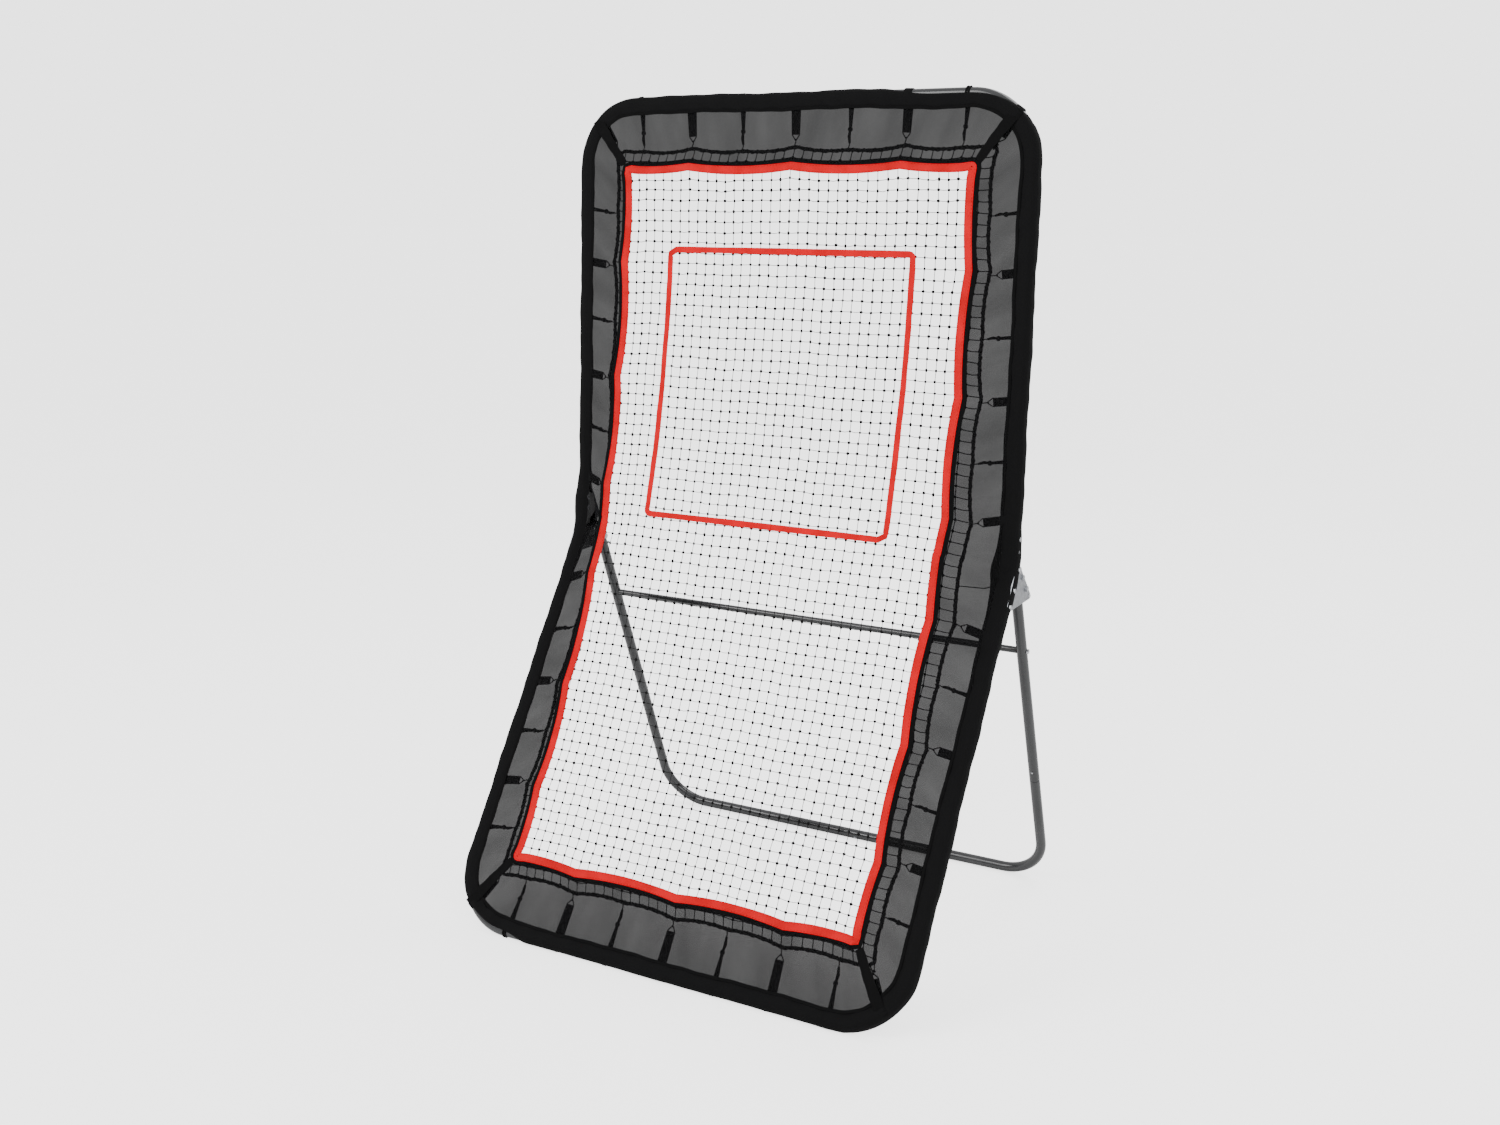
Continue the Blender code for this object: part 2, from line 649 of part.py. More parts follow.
def rope_out(s):
    return cover_out(0.6, s) - 0.012


def edge_rope(label, panel_point, start, cord):
    loop = u_loop(ROPE_HALF_WIDTH, ROPE_TOP, 0.020, start + 0.010, 7, 3)
    path = [panel_point(x, s, rope_out(s)) for x, s in loop]
    bm = bmesh.new()
    rings = add_rings(bm, path, [ROPE_RADIUS] * len(path), FORWARD, 6)
    for a, b in zip(rings, rings[1:]):
        bridge(bm, a, b)
    bm.faces.new(rings[0])
    bm.faces.new(rings[-1])
    add_object(label + "_edge_rope", bm, cord, HINGE)


def strike_zone(red):
    """The rectangle of red ribbon on the front of the upper net."""
    def loop(inset):
        half = STRIKE_HALF_WIDTH - inset
        low, high = STRIKE_LOW + inset, STRIKE_HIGH - inset
        rise = [low + (high - low) * k / 6 for k in range(7)]
        return [(half, s) for s in rise] + [(-half, s) for s in reversed(rise)]

    def in_front(s):
        return net_out(s) + NET_THICKNESS + 0.0006

    edges = loop(0), loop(STRIKE_RIBBON)
    ribbon("strike_zone_ribbon", upper_point, *edges, in_front, in_front, 0.0012, red, True)


def main():
    clear_scene()
    paint = material("frame_paint", (0.018, 0.019, 0.021), 0.28, 0.2)
    zinc = material("zinc_plate", (0.62, 0.63, 0.65), 0.35, 0.9)
    steel = material("fastener_steel", (0.55, 0.56, 0.58), 0.35, 0.9)
    plastic = material("black_plastic", (0.02, 0.02, 0.022), 0.5)
    black = material("black_webbing", (0.012, 0.012, 0.013), 0.9)
    grey = material("grey_mesh", (0.11, 0.11, 0.115), 0.9)
    red = material("red_webbing", (0.85, 0.04, 0.04), 0.8)
    cord = material("black_cord", (0.015, 0.015, 0.016), 0.85)

    down = Vector((0, 0, -1))
    lower, lower_button = frame_tubes(lower_point, LOWER_RUN, "lower", paint, HINGE, down, LOWER_BACK)
    upper, upper_button = frame_tubes(upper_point, UPPER_RUN, "upper", paint, HINGE, UPPER_BACK, UPPER_BACK)
    snap_button("lower_frame", lower_button, LOWER_BACK, Vector((1, 0, 0)), steel)
    snap_button("upper_frame", upper_button, UPPER_BACK, Vector((1, 0, 0)), steel)
    rear_leg(paint, steel)
    for side, word in ((-1, "left"), (1, "right")):
        lower_bolts, upper_bolts = hinge_side(side, word, zinc, steel, plastic)
        for target, places in ((lower[word], lower_bolts), (upper[word], upper_bolts)):
            for place in places:
                centre = place + Vector((side * FRAME_HALF_WIDTH, 0, 0))
                drill(target, centre, Vector((1, 0, 0)), 0.0033, 0.03)
    inner_head = INNER_PLATE_X - GAP
    inner_tube = FRAME_HALF_WIDTH - TUBE_RADIUS - GAP
    bracket_bolts("lower_bracket_bolt", lower_bolts, OUTER_PLATE_X + PLATE_THICKNESS + GAP, inner_tube, steel)
    bracket_bolts("upper_bracket_bolt", upper_bolts, FRAME_HALF_WIDTH + TUBE_RADIUS + GAP, inner_head, steel)
    colours = (black, grey, red, cord)
    soft_panel("upper", upper_point, UPPER_RUN, UPPER_NET_START, 0.026, colours)
    soft_panel("lower", lower_point, LOWER_RUN, LOWER_NET_START, 0.026, colours)
    strike_zone(red)


main()
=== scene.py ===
"""The looks of the pitching target net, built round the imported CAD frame. All sizes are in metres."""

import json
import math
import random

import bmesh
import bpy
import numpy as np
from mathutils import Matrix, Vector


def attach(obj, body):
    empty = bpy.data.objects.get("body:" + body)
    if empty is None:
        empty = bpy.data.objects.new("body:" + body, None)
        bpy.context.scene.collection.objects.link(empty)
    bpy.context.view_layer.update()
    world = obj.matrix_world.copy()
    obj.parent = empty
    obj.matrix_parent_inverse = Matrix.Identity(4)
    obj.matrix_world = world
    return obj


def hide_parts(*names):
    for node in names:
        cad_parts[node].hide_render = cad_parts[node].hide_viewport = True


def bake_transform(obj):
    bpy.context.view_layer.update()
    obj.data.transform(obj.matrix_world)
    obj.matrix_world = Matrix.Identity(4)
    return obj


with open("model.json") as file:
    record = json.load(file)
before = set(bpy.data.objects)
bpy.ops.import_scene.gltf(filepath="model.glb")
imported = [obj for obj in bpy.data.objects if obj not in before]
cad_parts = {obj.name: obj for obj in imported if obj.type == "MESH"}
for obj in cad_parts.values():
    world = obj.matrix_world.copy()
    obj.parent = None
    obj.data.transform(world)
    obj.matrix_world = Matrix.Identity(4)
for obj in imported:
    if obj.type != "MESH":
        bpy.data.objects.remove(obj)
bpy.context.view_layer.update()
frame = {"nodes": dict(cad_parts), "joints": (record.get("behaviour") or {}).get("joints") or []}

# ---------------------------------------------------------------- driving dimensions, as in the CAD source
HINGE = next(Vector(j["pos_m"]) for j in frame["joints"] if j["name"] == "upper_tilt")
LEG_PIVOT = next(Vector(j["pos_m"]) for j in frame["joints"] if j["name"] == "leg_fold")
LOWER_LEAN = math.radians(33.0)
UPPER_LEAN = math.radians(3.0)
FRAME_HALF_WIDTH = 0.5873
UPPER_RUN = 1.0415
TUBE_RADIUS = 0.0127
TUBE_WALL = 0.0012
REST_HEIGHT = TUBE_RADIUS
LOWER_RUN = (HINGE.z - REST_HEIGHT) / math.cos(LOWER_LEAN)
FRAME_BEND = 0.150
TUBE_START = 0.020
LEG_FOOT = Vector((0, HINGE.y + 0.3728, REST_HEIGHT))
LEG_TOP_X = 0.5785
LEG_FOOT_X = 0.568
LEG_BEND = 0.115
LEG_STUB = 0.015
LEG_JOINT_SHARE = 0.64
CROSS_BAR_SHARE = 0.20
CROSS_BAR_RADIUS = 0.008

NET_END_S = 0.88
NET_END_OUT = 0.02
NET_EDGE_OUT = 0.010
SQUARE = 0.025
CORD_RADIUS = 0.0007
EDGE_CORD_RADIUS = 0.0012
KNOT_RADIUS = 0.0034
BORDER_HALF = 0.4575
BORDER_END = 0.888
BORDER_WIDTH = 0.0195
COVER_TUCK = 0.004
ROPE_HALF = 0.500
ROPE_END = 0.934
ROPE_RADIUS = 0.0041
COVER_EDGE_HALF = 0.5695
COVER_EDGE_END = 0.0185
COVER_OUT = 0.0115
STRIKE_HALF = 0.3225
STRIKE_LOW = 0.053
STRIKE_HIGH = 0.6925
STRIKE_WIDTH = 0.015

SIDE_STRAPS = (-0.71, -0.45, -0.17, 0.115, 0.38, 0.66)
SIDE_LOOPS = (-0.83, -0.58, -0.31, 0.245, 0.52, 0.79)
END_STRAPS = (-0.28, 0.0, 0.28)
END_LOOPS = (-0.42, -0.14, 0.14, 0.42)

SIDE_PULL = 0.012
BORDER_HANG = 0.009
ROPE_HANG = 0.016
COVER_THICKNESS = 0.0006
FLAP_THICKNESS = 0.0011
FLAP_EYELETS = (0.040, 0.068)

WORLD_STRENGTH = 1.0
KEY_POWER = 160.0
FLOOR_GLOW = 2.0


def lower_point(x, s, out=0.0):
    y = HINGE.y - s * math.sin(LOWER_LEAN) - out * math.cos(LOWER_LEAN)
    z = HINGE.z - s * math.cos(LOWER_LEAN) + out * math.sin(LOWER_LEAN)
    return Vector((x, y, z))


def upper_point(x, s, out=0.0):
    y = HINGE.y + s * math.sin(UPPER_LEAN) - out * math.cos(UPPER_LEAN)
    z = HINGE.z + s * math.cos(UPPER_LEAN) + out * math.sin(UPPER_LEAN)
    return Vector((x, y, z))


def panel_point(x, s, out=0.0, round_off=0.05):
    """A place on either panel, rounded at the fold: s is positive above the hinge line and negative below."""
    if s >= round_off:
        return upper_point(x, s, out)
    if s <= -round_off:
        return lower_point(x, -s, out)
    t = (s + round_off) / (2 * round_off)
    first = lower_point(x, round_off, out)
    last = upper_point(x, round_off, out)
    fold = (lower_point(x, 0, out) + upper_point(x, 0, out)) / 2 - Vector((x, HINGE.y, HINGE.z))
    bend = math.cos((LOWER_LEAN - UPPER_LEAN) / 2) ** 2
    corner = Vector((x, HINGE.y, HINGE.z)) + fold / bend
    return first * (1 - t) ** 2 + corner * 2 * t * (1 - t) + last * t**2


def smooth(value):
    value = min(max(value, 0.0), 1.0)
    return value * value * (3 - 2 * value)


# ---------------------------------------------------------------- materials
def new_material(name, colour, roughness, metallic=0.0, coat=0.0, sheen=0.0, specular=0.5):
    made = bpy.data.materials.new(name)
    made.use_nodes = True
    tree = made.node_tree
    shader = tree.nodes["Principled BSDF"]
    shader.inputs["Base Color"].default_value = (*colour, 1.0)
    shader.inputs["Roughness"].default_value = roughness
    shader.inputs["Metallic"].default_value = metallic
    shader.inputs["Coat Weight"].default_value = coat
    shader.inputs["Coat Roughness"].default_value = 0.12
    shader.inputs["Sheen Weight"].default_value = sheen
    shader.inputs["Specular IOR Level"].default_value = specular
    return made, tree, shader


def coordinates(tree, kind):
    return tree.nodes.new("ShaderNodeTexCoord").outputs[kind]


def math_node(tree, operation, first, second=0.0):
    node = tree.nodes.new("ShaderNodeMath")
    node.operation = operation
    for slot, value in zip(node.inputs, (first, second)):
        if isinstance(value, (int, float)):
            slot.default_value = value
        else:
            tree.links.new(value, slot)
    return node.outputs[0]


def noise(tree, place, scale, detail=4.0, stretch=(1, 1, 1)):
    mapping = tree.nodes.new("ShaderNodeMapping")
    mapping.inputs["Scale"].default_value = stretch
    tree.links.new(place, mapping.inputs["Vector"])
    node = tree.nodes.new("ShaderNodeTexNoise")
    node.inputs["Scale"].default_value = scale
    node.inputs["Detail"].default_value = detail
    tree.links.new(mapping.outputs[0], node.inputs["Vector"])
    return node.outputs["Fac"]


def ramp(tree, value, *stops):
    node = tree.nodes.new("ShaderNodeValToRGB")
    tree.links.new(value, node.inputs[0])
    elements = node.color_ramp.elements
    while len(elements) < len(stops):
        elements.new(0.5)
    for element, (position, colour) in zip(elements, stops):
        element.position = position
        element.color = (*colour, 1.0)
    return node.outputs[0]


def levels(tree, value, low, high, to_low, to_high):
    node = tree.nodes.new("ShaderNodeMapRange")
    tree.links.new(value, node.inputs[0])
    for slot, number in zip(node.inputs[1:5], (low, high, to_low, to_high)):
        slot.default_value = number
    return node.outputs[0]


def bump(tree, shader, height, strength, distance):
    node = tree.nodes.new("ShaderNodeBump")
    node.inputs["Strength"].default_value = strength
    node.inputs["Distance"].default_value = distance
    tree.links.new(height, node.inputs["Height"])
    tree.links.new(node.outputs[0], shader.inputs["Normal"])


def weave(tree, pitch_u, pitch_v):
    """A plain weave over the UV map, whose units are metres: 0 in the gaps and 1 on the yarns."""
    split = tree.nodes.new("ShaderNodeSeparateXYZ")
    tree.links.new(coordinates(tree, "UV"), split.inputs[0])
    waves = []
    for axis, pitch in ((0, pitch_u), (1, pitch_v)):
        phase = math_node(tree, "MULTIPLY", split.outputs[axis], 2 * math.pi / pitch)
        waves.append(math_node(tree, "SINE", phase))
    product = math_node(tree, "MULTIPLY", waves[0], waves[1])
    return math_node(tree, "MULTIPLY_ADD", product, 0.5)


def drive(tree, shader, value, stops, rough_by=None, rough=()):
    """Drives the colour by a ramp over value, and the roughness by the levels of rough_by."""
    tree.links.new(ramp(tree, value, *stops), shader.inputs["Base Color"])
    if rough_by:
        tree.links.new(levels(tree, rough_by, *rough), shader.inputs["Roughness"])


def paint_material():
    made, tree, shader = new_material("frame_paint_look", (0.02, 0.021, 0.023), 0.25, 0.0, coat=0.35)
    place = coordinates(tree, "Object")
    dust = noise(tree, place, 9.0, 6.0)
    stops = ((0.30, (0.014, 0.015, 0.016)), (0.62, (0.024, 0.025, 0.027)), (0.78, (0.05, 0.05, 0.052)))
    drive(tree, shader, dust, stops, dust, (0.3, 0.8, 0.16, 0.32))
    bump(tree, shader, noise(tree, place, 700.0, 2.0), 0.12, 0.0003)
    return made


def metal_material(name, colour, roughness):
    made, tree, shader = new_material(name, colour, roughness, 1.0)
    place = coordinates(tree, "Object")
    spangle = noise(tree, place, 160.0, 5.0)
    dark = tuple(c * 0.62 for c in colour)
    light = tuple(min(1.0, c * 1.15) for c in colour)
    rough = (0.3, 0.7, roughness - 0.08, roughness + 0.14)
    drive(tree, shader, spangle, ((0.32, dark), (0.66, light)), spangle, rough)
    bump(tree, shader, noise(tree, place, 420.0, 3.0), 0.2, 0.0003)
    return made


def plastic_material():
    made, tree, shader = new_material("black_plastic_look", (0.02, 0.02, 0.021), 0.45)
    place = coordinates(tree, "Object")
    grain = noise(tree, place, 900.0, 2.0)
    stops = ((0.3, (0.014, 0.014, 0.015)), (0.7, (0.03, 0.03, 0.031)))
    drive(tree, shader, grain, stops, grain, (0.3, 0.7, 0.4, 0.58))
    bump(tree, shader, grain, 0.25, 0.0004)
    return made


def webbing_material(name, dark, light, pitch, sheen, rib=0.35):
    made, tree, shader = new_material(name, light, 0.8, sheen=sheen, specular=0.1)
    shader.inputs["Sheen Roughness"].default_value = 0.5
    yarns = weave(tree, pitch, pitch * 1.7)
    worn = noise(tree, coordinates(tree, "Object"), 22.0, 5.0)
    ribs = math_node(tree, "MULTIPLY", yarns, rib)
    both = math_node(tree, "ADD", ribs, math_node(tree, "MULTIPLY", worn, 0.7))
    drive(tree, shader, both, ((0.30, dark), (0.62, light)), worn, (0.3, 0.7, 0.72, 0.95))
    bump(tree, shader, yarns, 0.6, 0.0006)
    return made


def cord_material(name, dark, light, twist):
    made, tree, shader = new_material(name, light, 0.85, sheen=0.0, specular=0.1)
    place = coordinates(tree, "Object")
    fibre = noise(tree, place, twist, 3.0, (1.0, 1.0, 0.6))
    drive(tree, shader, fibre, ((0.3, dark), (0.7, light)), fibre, (0.3, 0.7, 0.7, 0.95))
    bump(tree, shader, fibre, 0.5, 0.0005)
    return made


def mesh_material():
    """See-through mesh: the share of each thread cell that is open is its transparent share."""
    made, tree, shader = new_material("grey_mesh_look", (0.006, 0.006, 0.0063), 0.9, specular=0.03)
    cells = weave(tree, 0.0022, 0.0022)
    cloth = noise(tree, coordinates(tree, "UV"), 14.0, 5.0, (1.0, 0.35, 1.0))
    threads = levels(tree, cells, 0.0, 1.0, 0.765, 0.865)
    cover = math_node(tree, "ADD", threads, levels(tree, cloth, 0.3, 0.7, -0.02, 0.02))
    tree.links.new(cover, shader.inputs["Alpha"])
    drive(tree, shader, cells, ((0.2, (0.004, 0.004, 0.0042)), (0.8, (0.009, 0.009, 0.0095))))
    bump(tree, shader, cells, 0.3, 0.0004)
    return made


PAINT = paint_material()
ZINC = metal_material("zinc_plate_look", (0.36, 0.37, 0.39), 0.36)
STEEL = metal_material("fastener_steel_look", (0.52, 0.53, 0.55), 0.26)
SPRING = metal_material("spring_steel_look", (0.35, 0.36, 0.40), 0.30)
PLASTIC = plastic_material()
BLACK = webbing_material(
    "black_webbing_look", (0.0015, 0.0015, 0.0017), (0.005, 0.005, 0.0053), 0.0016, 0.01
)
TAPE = webbing_material("black_tape_look", (0.001, 0.001, 0.0011), (0.0035, 0.0035, 0.0037), 0.0011, 0.0)
RED = webbing_material("red_webbing_look", (0.50, 0.0, 0.003), (0.76, 0.001, 0.010), 0.0018, 0.0, 0.3)
CORD = cord_material("net_cord_look", (0.002, 0.002, 0.002), (0.008, 0.008, 0.008), 900.0)
ROPE = cord_material("edge_rope_look", (0.002, 0.002, 0.002), (0.007, 0.007, 0.007), 420.0)
WIRE = metal_material("black_wire_look", (0.05, 0.05, 0.055), 0.35)
MESH = mesh_material()
RED_STITCH = webbing_material("red_stitch_look", (0.30, 0.0, 0.002), (0.50, 0.001, 0.006), 0.002, 0.0)


# ---------------------------------------------------------------- mesh tools
class Piece:
    """Collects several shapes, each (points, faces, uv), into one mesh."""

    def __init__(self):
        self.points = []
        self.faces = []
        self.uvs = []
        self.count = 0

    def add(self, points, faces, uvs=None):
        points = np.asarray(points, float).reshape(-1, 3)
        faces = [[k + self.count for k in face] for face in faces]
        self.points.append(points)
        self.faces += faces
        self.uvs.append(points[:, [0, 2]] if uvs is None else np.asarray(uvs, float).reshape(-1, 2))
        self.count += len(points)

    def make(self, name, finish, sharp=40.0):
        mesh = bpy.data.meshes.new(name)
        points = np.concatenate(self.points)
        points[:, 2] = np.maximum(points[:, 2], 0.0)
        mesh.from_pydata(points.tolist(), [], self.faces)
        mesh.validate()
        layer = mesh.uv_layers.new(name="metres")
        uvs = np.concatenate(self.uvs)
        corners = np.empty(len(mesh.loops), np.int32)
        mesh.loops.foreach_get("vertex_index", corners)
        layer.data.foreach_set("uv", uvs[corners].astype(np.float32).ravel())
        mesh.materials.append(finish)
        mesh.shade_smooth()
        mesh.set_sharp_from_angle(angle=math.radians(sharp))
        obj = bpy.data.objects.new(name, mesh)
        bpy.context.scene.collection.objects.link(obj)
        return obj


def grid_faces(rows, columns, closed_rows=False, closed_columns=True, flip=False):
    """Quads between the rings of a swept shape: rows rings of columns points each."""
    faces = []
    last_row = rows if closed_rows else rows - 1
    last_column = columns if closed_columns else columns - 1
    for i in range(last_row):
        n = (i + 1) % rows
        for j in range(last_column):
            m = (j + 1) % columns
            face = [i * columns + j, n * columns + j, n * columns + m, i * columns + m]
            faces.append(face[::-1] if flip else face)
    return faces


def directions(path, closed):
    """Unit tangents, and a pair of unit directions across, at each point of a path."""
    path = np.asarray(path, float)
    if closed:
        tangent = np.roll(path, -1, 0) - np.roll(path, 1, 0)
    else:
        tangent = np.gradient(path, axis=0)
    tangent /= np.linalg.norm(tangent, axis=1)[:, None]
    across = np.empty_like(tangent)
    seed = np.array([0.0, 1.0, 0.0]) if abs(tangent[0][1]) < 0.9 else np.array([1.0, 0.0, 0.0])
    for k, along in enumerate(tangent):
        seed = seed - along * (seed @ along)
        seed /= np.linalg.norm(seed)
        across[k] = seed
    return tangent, across, np.cross(tangent, across)


def sweep(path, radius, sides=8, closed=False):
    """A round solid cord along a path; radius is one number or one for each point."""
    path = np.asarray([tuple(p) for p in path], float)
    _, u, v = directions(path, closed)
    radii = np.broadcast_to(np.asarray(radius, float), (len(path),))
    angles = 2 * np.pi * np.arange(sides) / sides
    ring = np.cos(angles)[None, :, None] * u[:, None, :] + np.sin(angles)[None, :, None] * v[:, None, :]
    points = path[:, None, :] + radii[:, None, None] * ring
    faces = grid_faces(len(path), sides, closed, flip=True)
    if not closed:
        faces.append(list(range(sides)))
        faces.append([(len(path) - 1) * sides + k for k in reversed(range(sides))])
    return points.reshape(-1, 3), faces


def strip(centre, side, front, sections, closed=False, measure=None):
    """A solid swept along a centre line: sections holds, for each station, its points (across, out)."""
    centre, side, front = (np.asarray([tuple(v) for v in a], float) for a in (centre, side, front))
    sections = np.asarray(sections, float)
    points = centre[:, None, :] + sections[:, :, :1] * side[:, None, :]
    points = points + sections[:, :, 1:] * front[:, None, :]
    rows, columns = sections.shape[:2]
    faces = grid_faces(rows, columns, closed)
    if not closed:
        faces.append(list(reversed(range(columns))))
        faces.append([(rows - 1) * columns + k for k in range(columns)])
    if measure is None:
        steps = np.linalg.norm(np.diff(centre, axis=0), axis=1)
        measure = np.concatenate([[0.0], np.cumsum(steps)])
    uvs = np.stack([np.repeat(measure, columns), sections[:, :, 0].ravel()], 1)
    return points.reshape(-1, 3), faces, uvs


def flat_section(half, thickness, bulge=0.0):
    """A thin band's section, (across, out), with softened edges; it starts at the back on the left."""
    edge = min(thickness * 0.5, half * 0.3)
    return [
        (-half + edge, 0.0), (0.0, bulge * 0.5), (half - edge, 0.0), (half, thickness / 2),
        (half - edge, thickness), (0.0, thickness + bulge), (-half + edge, thickness), (-half, thickness / 2),
    ]


def ball(centre, radius, squash=(1.0, 1.0, 1.0), rings=4, sides=6, spin=0.0):
    points = [Vector(centre) + Vector((0, 0, radius * squash[2]))]
    for i in range(1, rings):
        high = math.pi * i / rings
        for k in range(sides):
            turn = 2 * math.pi * k / sides + spin
            level = math.sin(high)
            offset = Vector((level * math.cos(turn), level * math.sin(turn), math.cos(high)))
            points.append(Vector(centre) + Vector(offset[a] * squash[a] * radius for a in range(3)))
    points.append(Vector(centre) - Vector((0, 0, radius * squash[2])))
    faces = [[0, 1 + k, 1 + (k + 1) % sides] for k in range(sides)]
    for i in range(rings - 2):
        base = 1 + i * sides
        for k in range(sides):
            n = (k + 1) % sides
            faces.append([base + k, base + sides + k, base + sides + n, base + n])
    last = len(points) - 1
    base = 1 + (rings - 2) * sides
    faces += [[last, base + (k + 1) % sides, base + k] for k in range(sides)]
    return [tuple(p) for p in points], faces


# ---------------------------------------------------------------- the surface that the net lies on
def net_profile():
    """Points (y, z) down the middle of the net, its arc lengths from the fold, and its forward normals."""
    low = lower_point(0, NET_END_S, NET_END_OUT)
    high = upper_point(0, NET_END_S, NET_END_OUT)
    steps = 240
    ts = [k / steps for k in range(steps + 1)]
    curve = [low * (1 - t) ** 2 + HINGE * 2 * t * (1 - t) + high * t**2 for t in ts]
    curve = [lower_point(0, 1.0, NET_EDGE_OUT - 0.009)] + curve + [upper_point(0, 1.0, NET_EDGE_OUT - 0.009)]
    line = np.array([(p.y, p.z) for p in curve])
    length = np.concatenate([[0.0], np.cumsum(np.linalg.norm(np.diff(line, axis=0), axis=1))])
    middle = length[1 + steps // 2]
    tangent = np.gradient(line, axis=0)
    tangent /= np.linalg.norm(tangent, axis=1)[:, None]
    normal = np.stack([-tangent[:, 1], tangent[:, 0]], 1)
    return line, length - middle, normal


LINE, ARC, NORMAL = net_profile()


def profile_at(w):
    place = [np.interp(w, ARC, LINE[:, k]) for k in (0, 1)]
    normal = np.array([np.interp(w, ARC, NORMAL[:, k]) for k in (0, 1)])
    return place, normal / np.linalg.norm(normal)


def panel_s(y, z):
    """The signed distance from the hinge line, along the nearer panel, of a point of the net."""
    up = (y - HINGE.y) * math.sin(UPPER_LEAN) + (z - HINGE.z) * math.cos(UPPER_LEAN)
    down = -(y - HINGE.y) * math.sin(LOWER_LEAN) - (z - HINGE.z) * math.cos(LOWER_LEAN)
    return up if up > down else -down


S_TABLE = np.array([panel_s(y, z) for y, z in LINE])
S_RISE = np.maximum.accumulate(S_TABLE + np.arange(len(S_TABLE)) * 1e-9)


def arc_of(s):
    """The arc length along the net for a signed panel distance s."""
    return float(np.interp(s, S_RISE, ARC))


def s_of(w):
    return float(np.interp(w, ARC, S_TABLE))


def net_out(s):
    """How far the net stands in front of the panel at the panel distance s."""
    (y, z), _ = profile_at(arc_of(s))
    place = Vector((0, y, z))
    base = upper_point(0, s) if s >= 0 else lower_point(0, -s)
    return (place - base).length


def sheet_point(x, w, lift=0.0):
    """A place on the net's surface: w is the arc length from the fold, lift is in front of the surface."""
    (y, z), normal = profile_at(w)
    hollow = SIDE_PULL * smooth((abs(x) - 0.25) / 0.25) * math.exp(-((w / 0.22) ** 2))
    return Vector((x, y + normal[0] * (lift - hollow), z + normal[1] * (lift - hollow)))


def sheet_front(w):
    _, normal = profile_at(w)
    return Vector((0, normal[0], normal[1]))


CORNER_W = arc_of(BORDER_END)
ROPE_W = arc_of(ROPE_END)


def pull(place, stops, ends):
    """How far the edge hangs in between its straps: 0 at a strap and 1 halfway to the next."""
    points = sorted([-ends, *stops, ends])
    for a, b in zip(points, points[1:]):
        if a <= place <= b:
            u = (place - a) / (b - a)
            return 4 * u * (1 - u) * min(1.0, (b - a) / 0.26)
    return 0.0


def rope_side(s):
    """The edge rope hangs in between its elastic loops too."""
    return 0.5 * side_scallop(s) + 0.45 * pull(s, SIDE_STRAPS + SIDE_LOOPS, ROPE_END)


def rope_end(x):
    return 0.5 * end_scallop(x) + 0.45 * pull(x, END_STRAPS + END_LOOPS, ROPE_HALF)


def side_scallop(s):
    return pull(s, SIDE_STRAPS, ROPE_END)


def end_scallop(x):
    return pull(x, END_STRAPS, ROPE_HALF)


def wobble(a, b=0.0, phase=0.0):
    """A gentle irregular wave, from -1 to 1."""
    value = math.sin(a * 9.1 + phase) + 0.6 * math.sin(a * 23.7 + 1.3 + phase * 2 + b * 5.0)
    return (value + 0.4 * math.sin(a * 51.3 + 0.4 + phase * 3 + b * 11.0)) / 2.0


# ---------------------------------------------------------------- outlines of the edges
def closed_loop(half, end, radius, spacing=0.010):
    """Points (x, s) round both panels, counter-clockwise seen from the front, with rounded corners."""
    straight = end - radius
    count = max(2, round(2 * straight / spacing))
    points = [(half, -straight + 2 * straight * k / count) for k in range(count)]
    turns = max(3, round(radius * math.pi / 2 / spacing))
    for k in range(turns):
        angle = math.pi / 2 * k / turns
        points.append((half - radius + radius * math.cos(angle), straight + radius * math.sin(angle)))
    level = half - radius
    count = max(2, round(2 * level / spacing))
    points += [(level - 2 * level * k / count, end) for k in range(count)]
    return points + [(-x, -s) for x, s in points]


def outward(x, s, half, end):
    """The outward direction (x, s) of an edge at a place, from the sides to the ends."""
    radius = 0.03
    dx = max(abs(x) - (half - radius), 0.0)
    ds = max(abs(s) - (end - radius), 0.0)
    size = math.hypot(dx, ds)
    if size < 1e-9:
        return Vector((math.copysign(1, x), 0.0))
    return Vector((math.copysign(dx / size, x), math.copysign(ds / size, s)))


def scalloped(half, end, radius, depth, spacing, along_side, along_end):
    """The loop of an edge that hangs inwards between its ties; each point is (x, s)."""
    loop = []
    for x, s in closed_loop(half, end, radius, spacing):
        way = outward(x, s, half, end)
        hang = along_side(s) * way.x**2 + along_end(x) * way.y**2
        loop.append((x - way.x * depth * hang, s - way.y * depth * hang))
    return loop


def on_net(loop, lift):
    """Places, side directions (outwards) and front directions for a loop that lies on the net."""
    places = [sheet_point(x, arc_of(s), lift) for x, s in loop]
    fronts = [sheet_front(arc_of(s)) for _, s in loop]
    return places, loop_sides(places, fronts), fronts


def loop_sides(places, fronts):
    sides = []
    for k, front in enumerate(fronts):
        along = (places[(k + 1) % len(places)] - places[k - 1]).normalized()
        sides.append(along.cross(front).normalized())
    return sides


def loop_length(places):
    steps = [(b - a).length for a, b in zip(places, places[1:])]
    return np.concatenate([[0.0], np.cumsum(steps)])


def band(name, places, sides, fronts, sections, finish, sharp=40.0):
    """One closed band round the net or the frame."""
    piece = Piece()
    piece.add(*strip(places, sides, fronts, sections, True, loop_length(places)))
    return piece.make(name, finish, sharp)


def over_fold(obj, nodes=()):
    """A piece shaped over the hinge, attached to neither frame: hides the CAD nodes that it stands for and
    bakes its transform.
    """
    if nodes:
        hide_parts(*nodes)
    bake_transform(obj)


